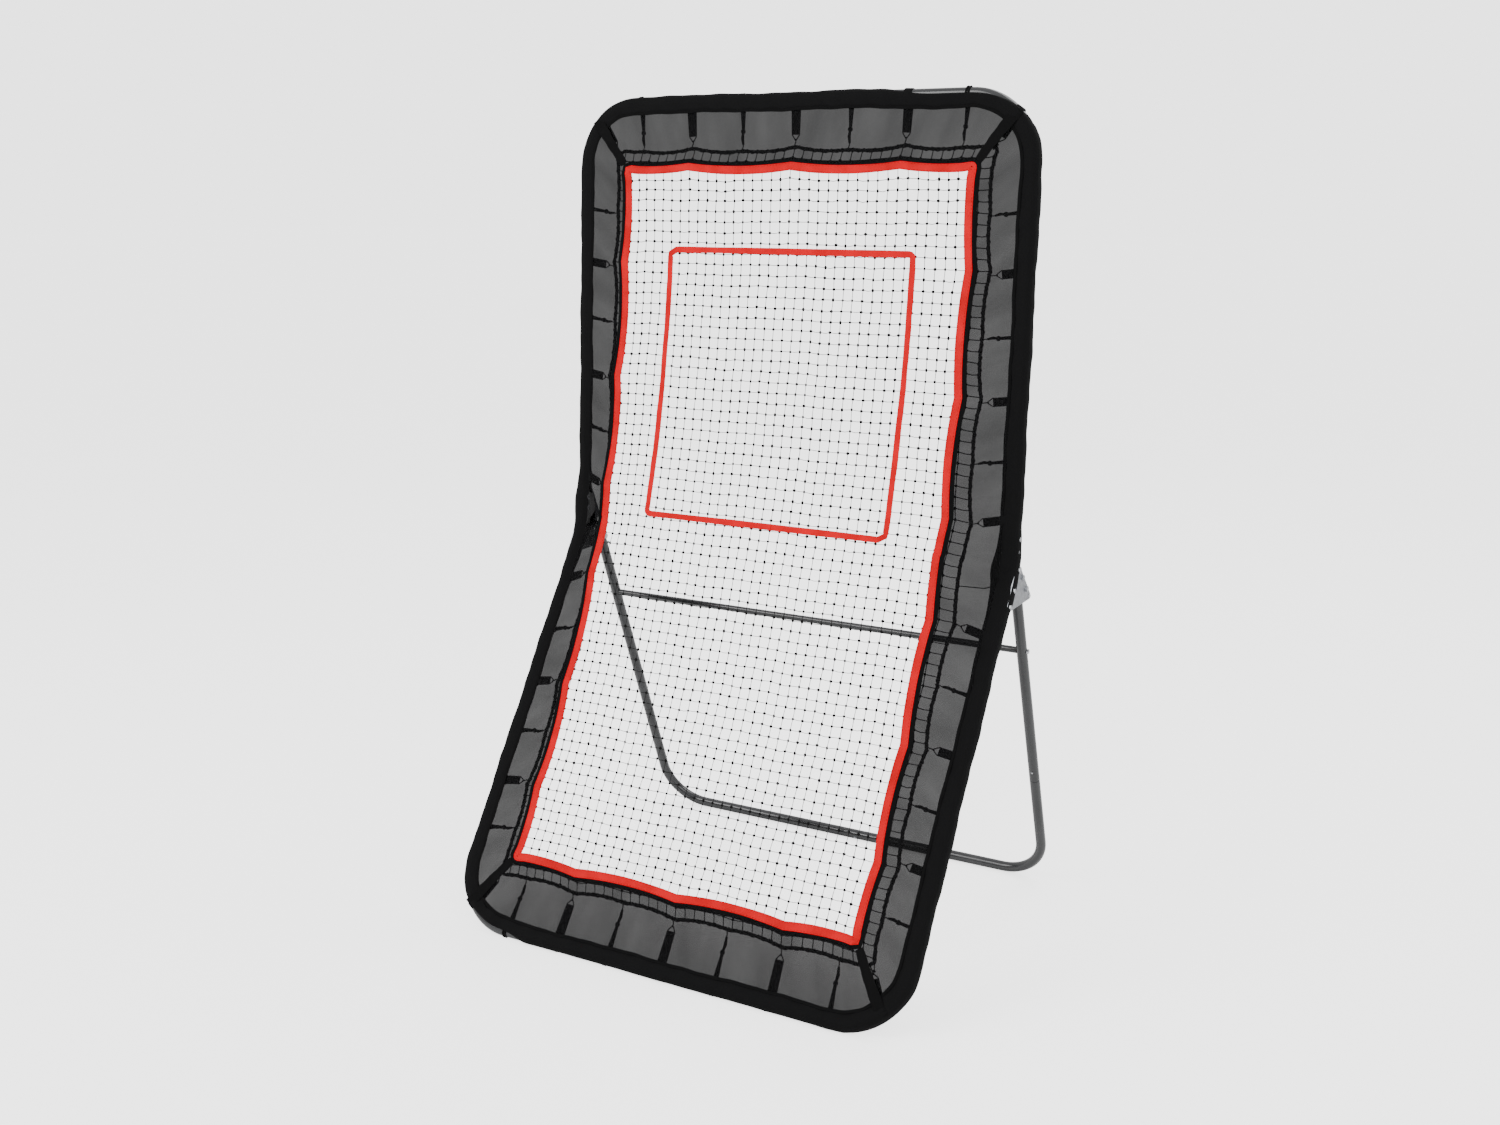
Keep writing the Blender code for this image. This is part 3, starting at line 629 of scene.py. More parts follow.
def red_border():
    loop = scalloped(BORDER_HALF, BORDER_END, 0.003, BORDER_HANG, 0.008, side_scallop, end_scallop)
    places, sides, fronts = on_net(loop, 0.0016)
    sections = []
    for x, s in loop:
        half = BORDER_WIDTH / 2 + 0.0007 * wobble(s + x, 0.3)
        flat = flat_section(half, 0.0016, 0.0004)
        sections.append([(a, b + 0.0004 * wobble(3 * s + 2 * x, a)) for a, b in flat])
    obj = band("red_border", places, sides, fronts, sections, RED)
    over_fold(obj, ("upper_border_webbing", "lower_border_webbing"))
    stitches(loop)
    inner_binding(loop)


def stitches(loop):
    """Two rows of short raised threads along the red border."""
    places, sides, fronts = on_net(loop, 0.0034)
    piece = Piece()
    for row in (-0.0068, 0.0068):
        for k in range(len(places)):
            n = (k + 1) % len(places)
            start = places[k] + sides[k] * row
            end = places[n] + sides[n] * row
            a = start.lerp(end, 0.18)
            b = start.lerp(end, 0.72)
            piece.add(*sweep([a, a.lerp(b, 0.5) + fronts[k] * 0.0002, b], 0.00034, 4))
    over_fold(piece.make("border_stitches", RED_STITCH))


def inner_binding(loop):
    """The dark binding at the inner edge of the mesh cover, just outside the red border."""
    wide = 0.0145
    offset = BORDER_WIDTH / 2 + wide / 2 - 0.0040
    places, sides, fronts = on_net(loop, 0.0006)
    centre = [p + s * offset - f * 0.0006 for p, s, f in zip(places, sides, fronts)]
    flat = flat_section(wide / 2, 0.0016)
    sections = [[(a + 0.001 * wobble(7 * s + x), b) for a, b in flat] for x, s in loop]
    over_fold(band("cover_inner_binding", centre, sides, fronts, sections, TAPE))


# ---------------------------------------------------------------- the knotted net
def edge_share(x, w):
    """0 inside the border and 1 at the net's edge."""
    ex = (abs(x) - BORDER_HALF) / (ROPE_HALF - BORDER_HALF)
    ew = (abs(w) - CORNER_W) / (ROPE_W - CORNER_W)
    return min(max(ex, ew, 0.0), 1.0)


def rope_drop(s):
    """How far behind the net's surface the edge rope lies."""
    return 0.4 * max(net_out(s) - COVER_OUT, 0.0) + 0.012


DROP_TABLE = [rope_drop(float(s)) for s in S_TABLE]


def net_node(x, w, jitter=None):
    """A knot of the net, which follows the rope's scallops near the edge and falls back behind the cover."""
    s = s_of(w)
    near_x = smooth((abs(x) - 0.36) / 0.14)
    near_w = smooth((abs(w) - (ROPE_W - 0.14)) / 0.14)
    x_new = x - math.copysign(ROPE_HANG * rope_side(s) * near_x, x)
    w_new = w - math.copysign(ROPE_HANG * rope_end(x) * near_w, w)
    x_new += 0.0016 * wobble(w * 1.3, x * 0.7)
    w_new += 0.0020 * wobble(x * 1.9, w * 0.4, 1.7)
    if jitter is not None:
        x_new += jitter.uniform(-0.0009, 0.0009)
        w_new += jitter.uniform(-0.0009, 0.0009)
    drop = smooth(edge_share(x, w)) * float(np.interp(w, ARC, DROP_TABLE))
    return sheet_point(x_new, w_new, -drop)


def net():
    columns = round(2 * ROPE_HALF / SQUARE)
    rows = round(2 * ROPE_W / SQUARE)
    xs = [-ROPE_HALF + 2 * ROPE_HALF * i / columns for i in range(columns + 1)]
    ws = [-ROPE_W + 2 * ROPE_W * j / rows for j in range(rows + 1)]
    jitter = random.Random(3)
    nodes = [[net_node(x, w, jitter) for w in ws] for x in xs]
    cords = Piece()
    for x, column in zip(xs, nodes):
        cords.add(*net_cord(column, [(x, w) for w in ws], 0.0010, jitter))
    for j, w in enumerate(ws):
        row = [nodes[i][j] for i in range(columns + 1)]
        cords.add(*net_cord(row, [(x, w) for x in xs], 0.0014, jitter))
    over_fold(cords.make("net_cords", CORD), ("upper_net", "lower_net"))
    knots = Piece()
    for column in nodes:
        for place in column:
            size = KNOT_RADIUS * jitter.uniform(0.88, 1.16)
            shape = (1.15, 0.85, 0.95) if jitter.random() < 0.5 else (0.9, 0.85, 1.2)
            knots.add(*ball(place, size, shape, 4, 5, jitter.random()))
    over_fold(knots.make("net_knots", CORD, 60.0))


def net_cord(nodes, spots, slack, jitter):
    """One cord of the net through its knots; it is doubled, and so thicker, outside the border."""
    edge = [abs(x) > BORDER_HALF or abs(w) > CORNER_W for x, w in spots]
    radii = [EDGE_CORD_RADIUS if edge[0] else CORD_RADIUS]
    for a, b in zip(edge, edge[1:]):
        radii += [EDGE_CORD_RADIUS if a or b else CORD_RADIUS, EDGE_CORD_RADIUS if b else CORD_RADIUS]
    return sweep(with_slack(nodes, slack, jitter), radii, 4)


def with_slack(nodes, slack, jitter):
    """Adds a point between each two knots, a little off the straight line."""
    path = [nodes[0]]
    for a, b in zip(nodes, nodes[1:]):
        middle = (a + b) / 2
        middle = middle + Vector((0, jitter.uniform(-slack, slack), -abs(jitter.gauss(0, slack * 0.7))))
        path += [middle, b]
    return path


# ---------------------------------------------------------------- edge rope
def rope_place(x, s):
    """A place on the edge rope, behind the mesh cover."""
    w = arc_of(s)
    return sheet_point(x, w, -float(np.interp(w, ARC, DROP_TABLE)))


def edge_rope():
    loop = scalloped(ROPE_HALF + 0.0015, ROPE_END + 0.0015, 0.018, ROPE_HANG, 0.004, rope_side, rope_end)
    path = [rope_place(x, s) for x, s in loop]
    swell = [1 + 0.10 * math.sin(k * 1.9) + 0.07 * math.sin(k * 0.61) for k in range(len(path))]
    radii = [ROPE_RADIUS * share for share in swell]
    piece = Piece()
    piece.add(*sweep(path, radii, 8, True))
    whip(piece, path)
    over_fold(piece.make("edge_rope", ROPE, 60.0), ("upper_edge_rope", "lower_edge_rope"))


def whip(piece, path):
    """The thin line that winds round the rope and holds the net's edge to it."""
    _, u, v = directions([tuple(p) for p in path], True)
    coil = []
    for k, place in enumerate(path):
        angle = k * 0.9
        ring = u[k] * math.cos(angle) + v[k] * math.sin(angle)
        coil.append(Vector(place) + Vector(ring) * (ROPE_RADIUS + 0.0007))
    piece.add(*sweep(coil, 0.0010, 5, True))


# ---------------------------------------------------------------- strike zone
def strike_zone():
    radius = 0.010
    low, high = STRIKE_LOW, STRIKE_HIGH
    middle = (low + high) / 2
    loop = [(x, s + middle) for x, s in closed_loop(STRIKE_HALF, (high - low) / 2, radius, 0.007)]
    places, sides, fronts = on_net(loop, 0.0026)
    sections = []
    for x, s in loop:
        half = STRIKE_WIDTH / 2 + 0.0005 * wobble(2 * s + x)
        shift, lift = 0.0008 * wobble(s * 2, x), 0.0006 * wobble(4 * s + 3 * x)
        sections.append([(a + shift, b + lift) for a, b in flat_section(half, 0.0012)])
    piece = Piece()
    piece.add(*strip(places, sides, fronts, sections, True, loop_length(places)))
    joint = sheet_point(0.018, arc_of(low), 0.0042)
    along = Vector((1, 0, 0))
    front = sheet_front(arc_of(low))
    side = front.cross(along)
    piece.add(*strip([joint - along * 0.011, joint + along * 0.011], [side, side], [front, front],
                     [flat_section(STRIKE_WIDTH / 2, 0.0011)] * 2))
    over_fold(piece.make("strike_zone", RED), ("strike_zone_ribbon",))


# ---------------------------------------------------------------- mesh cover
def cover_edges(part):
    """The outer and inner edges, as (x, s), of one of the four cover panels, from mitre to mitre."""
    steps = {"side": 110, "end": 64}[part]
    outer_radius = 0.106
    half, end = COVER_EDGE_HALF, {1: UPPER_RUN - COVER_EDGE_END, -1: LOWER_RUN - COVER_EDGE_END}
    bow = outer_radius * (1 - math.sqrt(0.5))
    outer, inner = [], []
    for k in range(steps + 1):
        u = -1 + 2 * k / steps
        if part == "side":
            reach = end[1] if u > 0 else end[-1]
            s = u * (reach - bow)
            x = half
            past = abs(s) - (reach - outer_radius)
            if past > 0:
                x = half - outer_radius + math.sqrt(outer_radius**2 - past**2)
            outer.append((x, s))
            inner.append((BORDER_HALF + COVER_TUCK, u * (BORDER_END + COVER_TUCK)))
        else:
            x = u * (half - bow)
            s = 0.0
            past = abs(x) - (half - outer_radius)
            if past > 0:
                s = -outer_radius + math.sqrt(outer_radius**2 - past**2)
            outer.append((x, s))
            inner.append((u * (BORDER_HALF + COVER_TUCK), BORDER_END + COVER_TUCK))
    return outer, inner


def cover_panel(name, part, side, body=None):
    """One panel of see-through mesh, a thin closed sheet from the sleeve to the red border."""
    outer, inner = cover_edges(part)
    across = 12
    rows = []
    for (xo, so), (xi, si) in zip(outer, inner):
        if part == "side":
            hang = BORDER_HANG * side_scallop(si)
            first = panel_point(side * xo, so, COVER_OUT)
            last = sheet_point(side * (xi - hang), arc_of(si), -0.0004)
            tag = so
        else:
            end = (UPPER_RUN if side > 0 else LOWER_RUN) - COVER_EDGE_END
            first = panel_point(xo, side * (end + so), COVER_OUT)
            last = sheet_point(xi, arc_of(side * (si - BORDER_HANG * end_scallop(xi))), -0.0004)
            tag = xo
        row = []
        for j in range(across + 1):
            v = j / across
            belly = math.sin(math.pi * v)
            ripple = 0.0016 * wobble(tag * 2.2 + v * 0.5, v, side)
            ripple += 0.0011 * math.sin(tag * 95 + v * 9 * side)
            front = Vector((0, -1, 0.25)).normalized()
            row.append(first.lerp(last, v) + front * (belly * (0.003 + ripple)))
        rows.append(row)
    obj, (long_side, wide_side), area = make_cloth(name, rows, COVER_THICKNESS, MESH)
    if body:
        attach(obj, body)
    else:
        over_fold(obj)
    flat = (wide_side + 0.004, long_side)
    area = min(area, flat[0] * flat[1])


def outside(obj):
    """Turns every face outwards."""
    bm = bmesh.new()
    bm.from_mesh(obj.data)
    bmesh.ops.recalc_face_normals(bm, faces=bm.faces)
    bm.to_mesh(obj.data)
    bm.free()


def mesh_cover():
    cover_panel("mesh_cover_right", "side", 1)
    cover_panel("mesh_cover_left", "side", -1)
    cover_panel("mesh_cover_top", "end", 1, "upper_frame")
    cover_panel("mesh_cover_bottom", "end", -1, "lower_frame")
    for name, node in (("mesh_cover_top", "upper_mesh_cover"), ("mesh_cover_bottom", "lower_mesh_cover")):
        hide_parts(node)
    for side in (-1, 1):
        for end, word, body in ((1, "top", "upper_frame"), (-1, "bottom", "lower_frame")):
            mitre(side, end, word, body)


def mitre(side, end, word, body):
    """The black tape over the seam between two cover panels, from the sleeve's corner to the border's."""
    outer, inner = cover_edges("side")
    xo, so = outer[-1]
    xi, si = inner[-1]
    if end < 0:
        so = LOWER_RUN - COVER_EDGE_END - (UPPER_RUN - COVER_EDGE_END - so)
    first = panel_point(side * (xo + 0.012), end * (so + 0.012), COVER_OUT + 0.0012)
    last = sheet_point(side * (xi + 0.004), arc_of(end * (si + 0.004)), 0.0022)
    steps = 14
    belly = Vector((0, -0.0045, 0.001))
    shares = [k / steps for k in range(steps + 1)]
    centre = [first.lerp(last, share) + belly * math.sin(math.pi * share) for share in shares]
    front = sheet_front(arc_of(end * si))
    along = (last - first).normalized()
    across = along.cross(front).normalized()
    sections = []
    for k in range(steps + 1):
        half = 0.0145 - 0.0045 * k / steps + 0.0006 * math.sin(k * 1.7)
        sections.append(flat_section(half, 0.0016, 0.0008 * math.sin(k * 2.1)))
    piece = Piece()
    piece.add(*strip(centre, [across] * len(centre), [front] * len(centre), sections))
    obj = piece.make("mitre_tape_" + word + ("_right" if side > 0 else "_left"), TAPE)
    outside(obj)
    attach(obj, body)


# ---------------------------------------------------------------- the sleeve round the frame
def sleeve_slip(x, s):
    """How far the sleeve has slipped inwards and leaves the tube bare, as near two of the corners."""
    top = smooth(1.25 - abs(x - 0.40) / 0.16) if s > UPPER_RUN - 0.08 else 0.0
    low = smooth(1.25 - abs(x + 0.47) / 0.09) if s < -(LOWER_RUN - 0.15) else 0.0
    return 0.013 * max(top, low)


def sleeve_path(spacing=0.009):
    """(x, s, outward) round both frames at the tube's centre line."""
    half = FRAME_HALF_WIDTH
    path = []
    for end in (UPPER_RUN, -LOWER_RUN):
        reach = abs(end)
        straight = reach - FRAME_BEND
        part = []
        count = round(straight / spacing)
        part += [(half, straight * k / count, (1.0, 0.0)) for k in range(count)]
        turns = round(FRAME_BEND * math.pi / 2 / spacing)
        for k in range(turns + 1):
            a = math.pi / 2 * k / turns
            place = (half - FRAME_BEND + FRAME_BEND * math.cos(a), straight + FRAME_BEND * math.sin(a))
            part.append((*place, (math.cos(a), math.sin(a))))
        level = half - FRAME_BEND
        count = round(level / spacing)
        part += [(level - level * k / count, reach, (0.0, 1.0)) for k in range(1, count + 1)]
        mirrored = [(-x, s, (-n[0], n[1])) for x, s, n in reversed(part[:-1])]
        whole = part + mirrored
        if end > 0:
            path += whole
        else:
            path += [(x, -s, (n[0], -n[1])) for x, s, n in reversed(whole)][1:-1]
    return path


def tube_axes(x, s, way):
    """A place on the frame's centre line, with the directions outwards and to the front."""
    place = panel_point(x, s)
    front = (panel_point(x, s, 0.01) - place).normalized()
    side = (panel_point(x + way[0] * 0.01, s + way[1] * 0.01) - place).normalized()
    return place, side, front


def sleeve():
    path = sleeve_path()
    places, sides, fronts = zip(*(tube_axes(*spot) for spot in path))
    sections = [sleeve_section(x, s, sleeve_slip(x, s), k) for k, (x, s, _) in enumerate(path)]
    obj = band("frame_sleeve", places, sides, fronts, sections, BLACK, 55.0)
    outside(obj)
    over_fold(obj, ("upper_frame_sleeve", "lower_frame_sleeve"))
    sleeve_hem(path)


def hem_reach(x, s, slip):
    """How much further in the sleeve's inner edge reaches, as it widens at the fold and waves."""
    near_fold = math.exp(-((s / 0.055) ** 2))
    return 0.014 * near_fold + 0.0022 * wobble(s * 1.6 + x * 1.9, 0.2 * x) + slip * 0.4


def sleeve_section(x, s, slip, k):
    """The sleeve's section, (outwards, out): over the front of the tube and round its outer side."""
    inner = -0.0265 - hem_reach(x, s, slip)
    puff = 0.0010 * wobble(s * 3.1 + x * 2.3, 1.0) + 0.0006 * math.sin(k * 0.9)
    top = TUBE_RADIUS + 0.0022 + puff
    edge = TUBE_RADIUS + 0.0016 + 0.0022 * wobble(s * 2.4 - x * 1.7, 0.5)
    edge += 0.0035 * math.exp(-((s / 0.09) ** 2))
    if x < 0:
        edge += 0.014 * math.exp(-(((s - 0.045) / 0.050) ** 2))
    wrap = 1.0 - min(slip / 0.013, 1.0)
    tail = -0.010 * wrap + 0.006 * (1 - wrap)
    outer = edge * wrap - 0.002 * (1 - wrap)
    thick = 0.0016
    return [
        (inner, top - 0.0030), (-0.0120, top - 0.0010), (-0.004, top), (outer * 0.55, top - 0.0012),
        (outer * 0.86, top * 0.62), (outer, top * 0.10 + tail * 0.3), (outer - 0.0008, tail),
        (outer + thick - 0.0008, tail), (outer + thick, top * 0.10 + tail * 0.3),
        (outer * 0.86 + thick, top * 0.62 + thick * 0.5), (outer * 0.55 + thick * 0.4, top - 0.0012 + thick),
        (-0.004, top + thick), (-0.0120, top - 0.0010 + thick), (inner, top - 0.0030 + thick),
    ]


def sleeve_hem(path):
    """The folded, stitched edge where the sleeve meets the mesh cover."""
    places, sides, fronts, sections = [], [], [], []
    for x, s, way in path:
        base, side, front = tube_axes(x, s, way)
        inset = -0.0245 - hem_reach(x, s, sleeve_slip(x, s))
        places.append(base + side * inset + front * (TUBE_RADIUS + 0.0012))
        sides.append(side)
        fronts.append(front)
        sections.append(flat_section(0.0038, 0.0024, 0.0005 * wobble(s * 6 + x * 5)))
    obj = band("sleeve_hem", places, sides, fronts, sections, TAPE)
    outside(obj)
    over_fold(obj)


def hinge_flap():
    """The loose black flap over the left hinge, and the two eyelets of the bolts that press through it."""
    rows = []
    for k in range(15):
        s = -0.022 + 0.102 * k / 14
        share = smooth((s + 0.022) / 0.020) * smooth((0.100 - s) / 0.045)
        inner_x = -(BORDER_HALF + 0.017 + 0.050 * (1 - share))
        start = panel_point(-(FRAME_HALF_WIDTH - 0.020), s, TUBE_RADIUS + 0.0034)
        depth = COVER_OUT + 0.004 + (net_out(s) - COVER_OUT) * smooth((0.5695 + inner_x) / 0.100)
        end = panel_point(inner_x, s, depth)
        row = []
        for j in range(9):
            v = j / 8
            fold = 0.0016 * math.sin(v * 7.0 + s * 60.0) + 0.0012 * math.sin(s * 130.0)
            row.append(start.lerp(end, v) + Vector((0, -fold - 0.004 * math.sin(math.pi * v), 0)))
        rows.append(row)
    obj, _, _ = make_cloth("left_hinge_flap", rows, FLAP_THICKNESS, BLACK)
    over_fold(obj)
    eyelets = Piece()
    for s in FLAP_EYELETS:
        centre = panel_point(-0.541, s)
        centre = centre + Vector((0, rows[9][2].y - centre.y - 0.0035, 0))
        for radius, wire in ((0.0062, 0.0013), (0.0028, 0.0010)):
            ring = [centre + Vector((radius * math.cos(a), 0, radius * math.sin(a)))
                    for a in (2 * math.pi * k / 24 for k in range(24))]
            eyelets.add(*sweep(ring, wire, 6, True))
    obj = eyelets.make("left_flap_eyelets", WIRE)
    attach(obj, "upper_frame")


def make_cloth(name, rows, thickness, finish):
    """A thin closed cloth over a grid of points, its UV map in metres: (object, (length, width), area)."""
    points = np.array([[tuple(p) for p in row] for row in rows])
    normal = np.cross(np.gradient(points, axis=1), np.gradient(points, axis=0))
    normal /= np.linalg.norm(normal, axis=2)[:, :, None]
    if normal[:, :, 1].mean() > 0:
        normal = -normal
    count, width = points.shape[:2]
    lengths_u, lengths_v = (
        np.cumsum(np.concatenate([[0.0], np.linalg.norm(np.diff(line, axis=0), axis=1)]))
        for line in (points[:, 0], points[count // 2])
    )
    uv = np.stack(np.meshgrid(lengths_u, lengths_v, indexing="ij"), 2).reshape(-1, 2)
    faces = grid_faces(count, width, False, False)
    faces_back = [[k + count * width for k in reversed(face)] for face in faces]
    rim = list(range(width)) + [i * width + width - 1 for i in range(1, count)]
    rim += [(count - 1) * width + j for j in reversed(range(width - 1))]
    rim += [i * width for i in reversed(range(1, count - 1))]
    edge = []
    for k, a in enumerate(rim):
        b = rim[(k + 1) % len(rim)]
        edge.append([a, b, b + count * width, a + count * width])
    front = (points + normal * thickness / 2).reshape(-1, 3)
    back = (points - normal * thickness / 2).reshape(-1, 3)
    piece = Piece()
    piece.add(np.concatenate([front, back]), faces + faces_back + edge, np.concatenate([uv, uv]))
    obj = piece.make(name, finish)
    outside(obj)
    cells = np.cross(np.diff(points, axis=0)[:, :-1], np.diff(points, axis=1)[:-1])
    area = float(np.linalg.norm(cells, axis=2).sum())
    return obj, (float(lengths_u[-1]), float(lengths_v[-1])), area


# ---------------------------------------------------------------- straps and elastic loops
def attachments():
    """Every strap and elastic loop: (kind, place at the tube, place at the rope, body)."""
    found = []
    for kind, sides, ends in (("strap", SIDE_STRAPS, END_STRAPS), ("loop", SIDE_LOOPS, END_LOOPS)):
        for s in sides:
            body = "upper_frame" if s > 0 else "lower_frame"
            for side in (-1, 1):
                tube = panel_point(side * FRAME_HALF_WIDTH, s)
                hang = ROPE_HANG * rope_side(s)
                rope = rope_place(side * (ROPE_HALF - hang + 0.002), s * 0.985)
                found.append((kind, tube, rope, body))
        for x in ends:
            for end, run, body in ((1, UPPER_RUN, "upper_frame"), (-1, LOWER_RUN, "lower_frame")):
                tube = panel_point(x * 1.02, end * run)
                hang = ROPE_HANG * rope_end(x)
                found.append((kind, tube, rope_place(x, end * (ROPE_END - hang + 0.002)), body))
    bow = FRAME_BEND * (1 - math.sqrt(0.5))
    for side in (-1, 1):
        for end, run, body in ((1, UPPER_RUN, "upper_frame"), (-1, LOWER_RUN, "lower_frame")):
            tube = panel_point(side * (FRAME_HALF_WIDTH - bow), end * (run - bow))
            rope = rope_place(side * (ROPE_HALF - 0.006), end * (ROPE_END - 0.006))
            found.append(("strap", tube, rope, body))
    return found


def panel_normal(body):
    lean = UPPER_LEAN if body == "upper_frame" else LOWER_LEAN
    return Vector((0, -math.cos(lean), math.sin(lean)))


def fasteners():
    finishes = {"webbing": (BLACK, "black_webbing"), "wire": (WIRE, "fastener_steel"),
                "elastic": (ROPE, "black_cord"), "beads": (PLASTIC, "black_plastic")}
    parts = {}
    for kind, tube, rope, body in attachments():
        pieces = parts.setdefault(body, {word: Piece() for word in finishes})
        front = panel_normal(body)
        if kind == "strap":
            strap(pieces, tube, rope, front)
        else:
            elastic_loop(pieces, tube, rope, front)
    tie = parts["lower_frame"]["elastic"]
    knot = rope_place(ROPE_HALF - 0.010, -0.085)
    tie.add(*sweep([knot, panel_point(0.540, -0.056, 0.010), panel_point(0.5685, -0.040, 0.006)], 0.0012, 6))
    for body, pieces in parts.items():
        for word, piece in pieces.items():
            finish, slot = finishes[word]
            obj = piece.make(body.split("_")[0] + "_strap_" + word, finish, 50.0)
            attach(obj, body)


def strap(pieces, tube, rope, front):
    """Webbing round the tube, a triangular wire ring on it, and a double hook to the rope."""
    way = (rope - tube).normalized()
    front = (front - way * front.dot(way)).normalized()
    across = way.cross(front)
    reach = (rope - tube).length
    ring_at = tube + way * (reach - 0.0275)
    radius = TUBE_RADIUS + 0.0010
    path = [ring_at + front * 0.0012, tube + way * 0.020 + front * 0.0045]
    path += [tube + way * radius * math.cos(a) + front * radius * math.sin(a)
             for a in (math.radians(55 + 250 * k / 10) for k in range(11))]
    path += [tube + way * 0.020 - front * 0.0040, ring_at - front * 0.0012]
    fronts = []
    for k in range(len(path)):
        along = (path[min(k + 1, len(path) - 1)] - path[max(k - 1, 0)]).normalized()
        fronts.append(along.cross(across).normalized())
    sections = [flat_section(0.0100, 0.0013)] * len(path)
    pieces["webbing"].add(*strip(path, [across] * len(path), fronts, sections))
    wide, tip = 0.0105, ring_at + way * 0.0135
    corners = [ring_at + across * wide, ring_at - across * wide, tip - across * 0.001, tip + across * 0.001]
    pieces["wire"].add(*sweep(rounded(corners), 0.0013, 6, True))
    hook(pieces["wire"], tip - way * 0.001, rope, front)


def rounded(corners, share=0.16):
    """A closed path round the corners, each cut by a short bend."""
    path = []
    for k, corner in enumerate(corners):
        before, after = corners[k - 1], corners[(k + 1) % len(corners)]
        bend = corner.lerp(before, share * 0.3).lerp(corner.lerp(after, share * 0.3), 0.5)
        path += [corner.lerp(before, share), bend, corner.lerp(after, share)]
    return path


def hook(piece, start, rope, front):
    """A thin wire from a ring or bead to the rope, bent round the rope at its end."""
    way = (rope - start).normalized()
    front = (front - way * front.dot(way)).normalized()
    bend = ROPE_RADIUS + 0.0018
    path = [start - way * 0.002, start.lerp(rope, 0.4), rope - way * bend * 1.2 + front * 0.002]
    turns = (-0.9, -0.3, 0.3, 0.9, 1.6, 2.3)
    path += [rope + way * bend * math.sin(a) + front * bend * math.cos(a) for a in turns]
    piece.add(*sweep(path, 0.0013, 6))
    piece.add(*ball(start, 0.0026, rings=4, sides=8))


def elastic_loop(pieces, tube, rope, front):
    """A doubled elastic cord round the tube, drawn through a bead, with a small hook on the rope."""
    way = (rope - tube).normalized()
    front = (front - way * front.dot(way)).normalized()
    across = way.cross(front)
    bead = tube.lerp(rope, 0.62)
    radius = TUBE_RADIUS + 0.0018
    for sign in (-1, 1):
        path = [bead + across * 0.0012 * sign, tube + way * 0.024 + across * 0.0022 * sign + front * 0.004]
        path += [tube + way * radius * math.cos(a) + front * radius * math.sin(a) + across * 0.003 * sign
                 for a in (math.radians(55 + 250 * k / 8) for k in range(9))]
        path.append(tube + way * 0.024 + across * 0.0026 * sign - front * 0.004)
        path.append(bead + across * 0.0012 * sign - front * 0.001)
        pieces["elastic"].add(*sweep(path, 0.0021, 6))
    knot = [bead, bead.lerp(rope, 0.35) + across * 0.0020, bead.lerp(rope, 0.7)]
    pieces["elastic"].add(*sweep(knot, [0.0026, 0.0038, 0.0026], 6))
    pieces["beads"].add(*ball(bead, 0.0060, (1.0, 0.9, 1.0), 6, 10))
    hook(pieces["wire"], bead.lerp(rope, 0.66), rope, front)


# ---------------------------------------------------------------- tubes
def rounded_corner(start, corner, end, radius, steps=22):
    to_start = (start - corner).normalized()
    to_end = (end - corner).normalized()
    half = to_start.angle(to_end) / 2
    cut = radius / math.tan(half)
    middle = (to_start + to_end).normalized()
    centre = corner + middle * radius / math.sin(half)
    first = (corner + to_start * cut - centre) / radius
    last = (corner + to_end * cut - centre) / radius
    turn = first.angle(last)
    arc = []
    for k in range(steps + 1):
        share = k / steps
        mixed = first * math.sin((1 - share) * turn) + last * math.sin(share * turn)
        arc.append(centre + mixed * radius / math.sin(turn))
    return [start, *arc, end]


def straight_points(path, spacing=0.02):
    """The same path with points along its straight runs."""
    filled = [path[0]]
    for a, b in zip(path, path[1:]):
        count = max(1, round((b - a).length / spacing))
        filled += [a.lerp(b, k / count) for k in range(1, count + 1)]
    return filled


def round_tube(name, path, radius, wall, body, nodes, spigot=None, sides=40):
    """A smooth hollow tube that stands for a faceted CAD tube; spigot is (length, radius) at its start."""
    path = straight_points(path)
    radii = [radius] * len(path)
    if spigot:
        length, narrow = spigot
        along = (path[1] - path[0]).normalized()
        path = [path[0] - along * length, path[0] - along * 0.0005, path[0] + along * 0.0015, *path[1:]]
        radii = [narrow, narrow] + [radius] * (len(path) - 2)
    points, faces = sweep(path, radii, sides)
    inner, inner_faces = sweep(path, [r - wall for r in radii], sides)
    faces = faces[:-2]
    inner_faces = [face[::-1] for face in inner_faces[:-2]]
    count = len(points)
    last = count - sides
    joined = faces + [[k + count for k in face] for face in inner_faces]
    for k in range(sides):
        n = (k + 1) % sides
        joined.append([k, n, n + count, k + count])
        joined.append([last + n, last + k, last + k + count, last + n + count])
    piece = Piece()
    piece.add(np.concatenate([points, inner]), joined)
    obj = piece.make(name, PAINT, 50.0)
    outside(obj)
    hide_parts(*nodes)
    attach(obj, body)
    return obj


def leg_point(side, share):
    x = LEG_TOP_X + (LEG_FOOT_X - LEG_TOP_X) * share
    return Vector((side * x, 0, 0)) + LEG_PIVOT.lerp(LEG_FOOT, share)


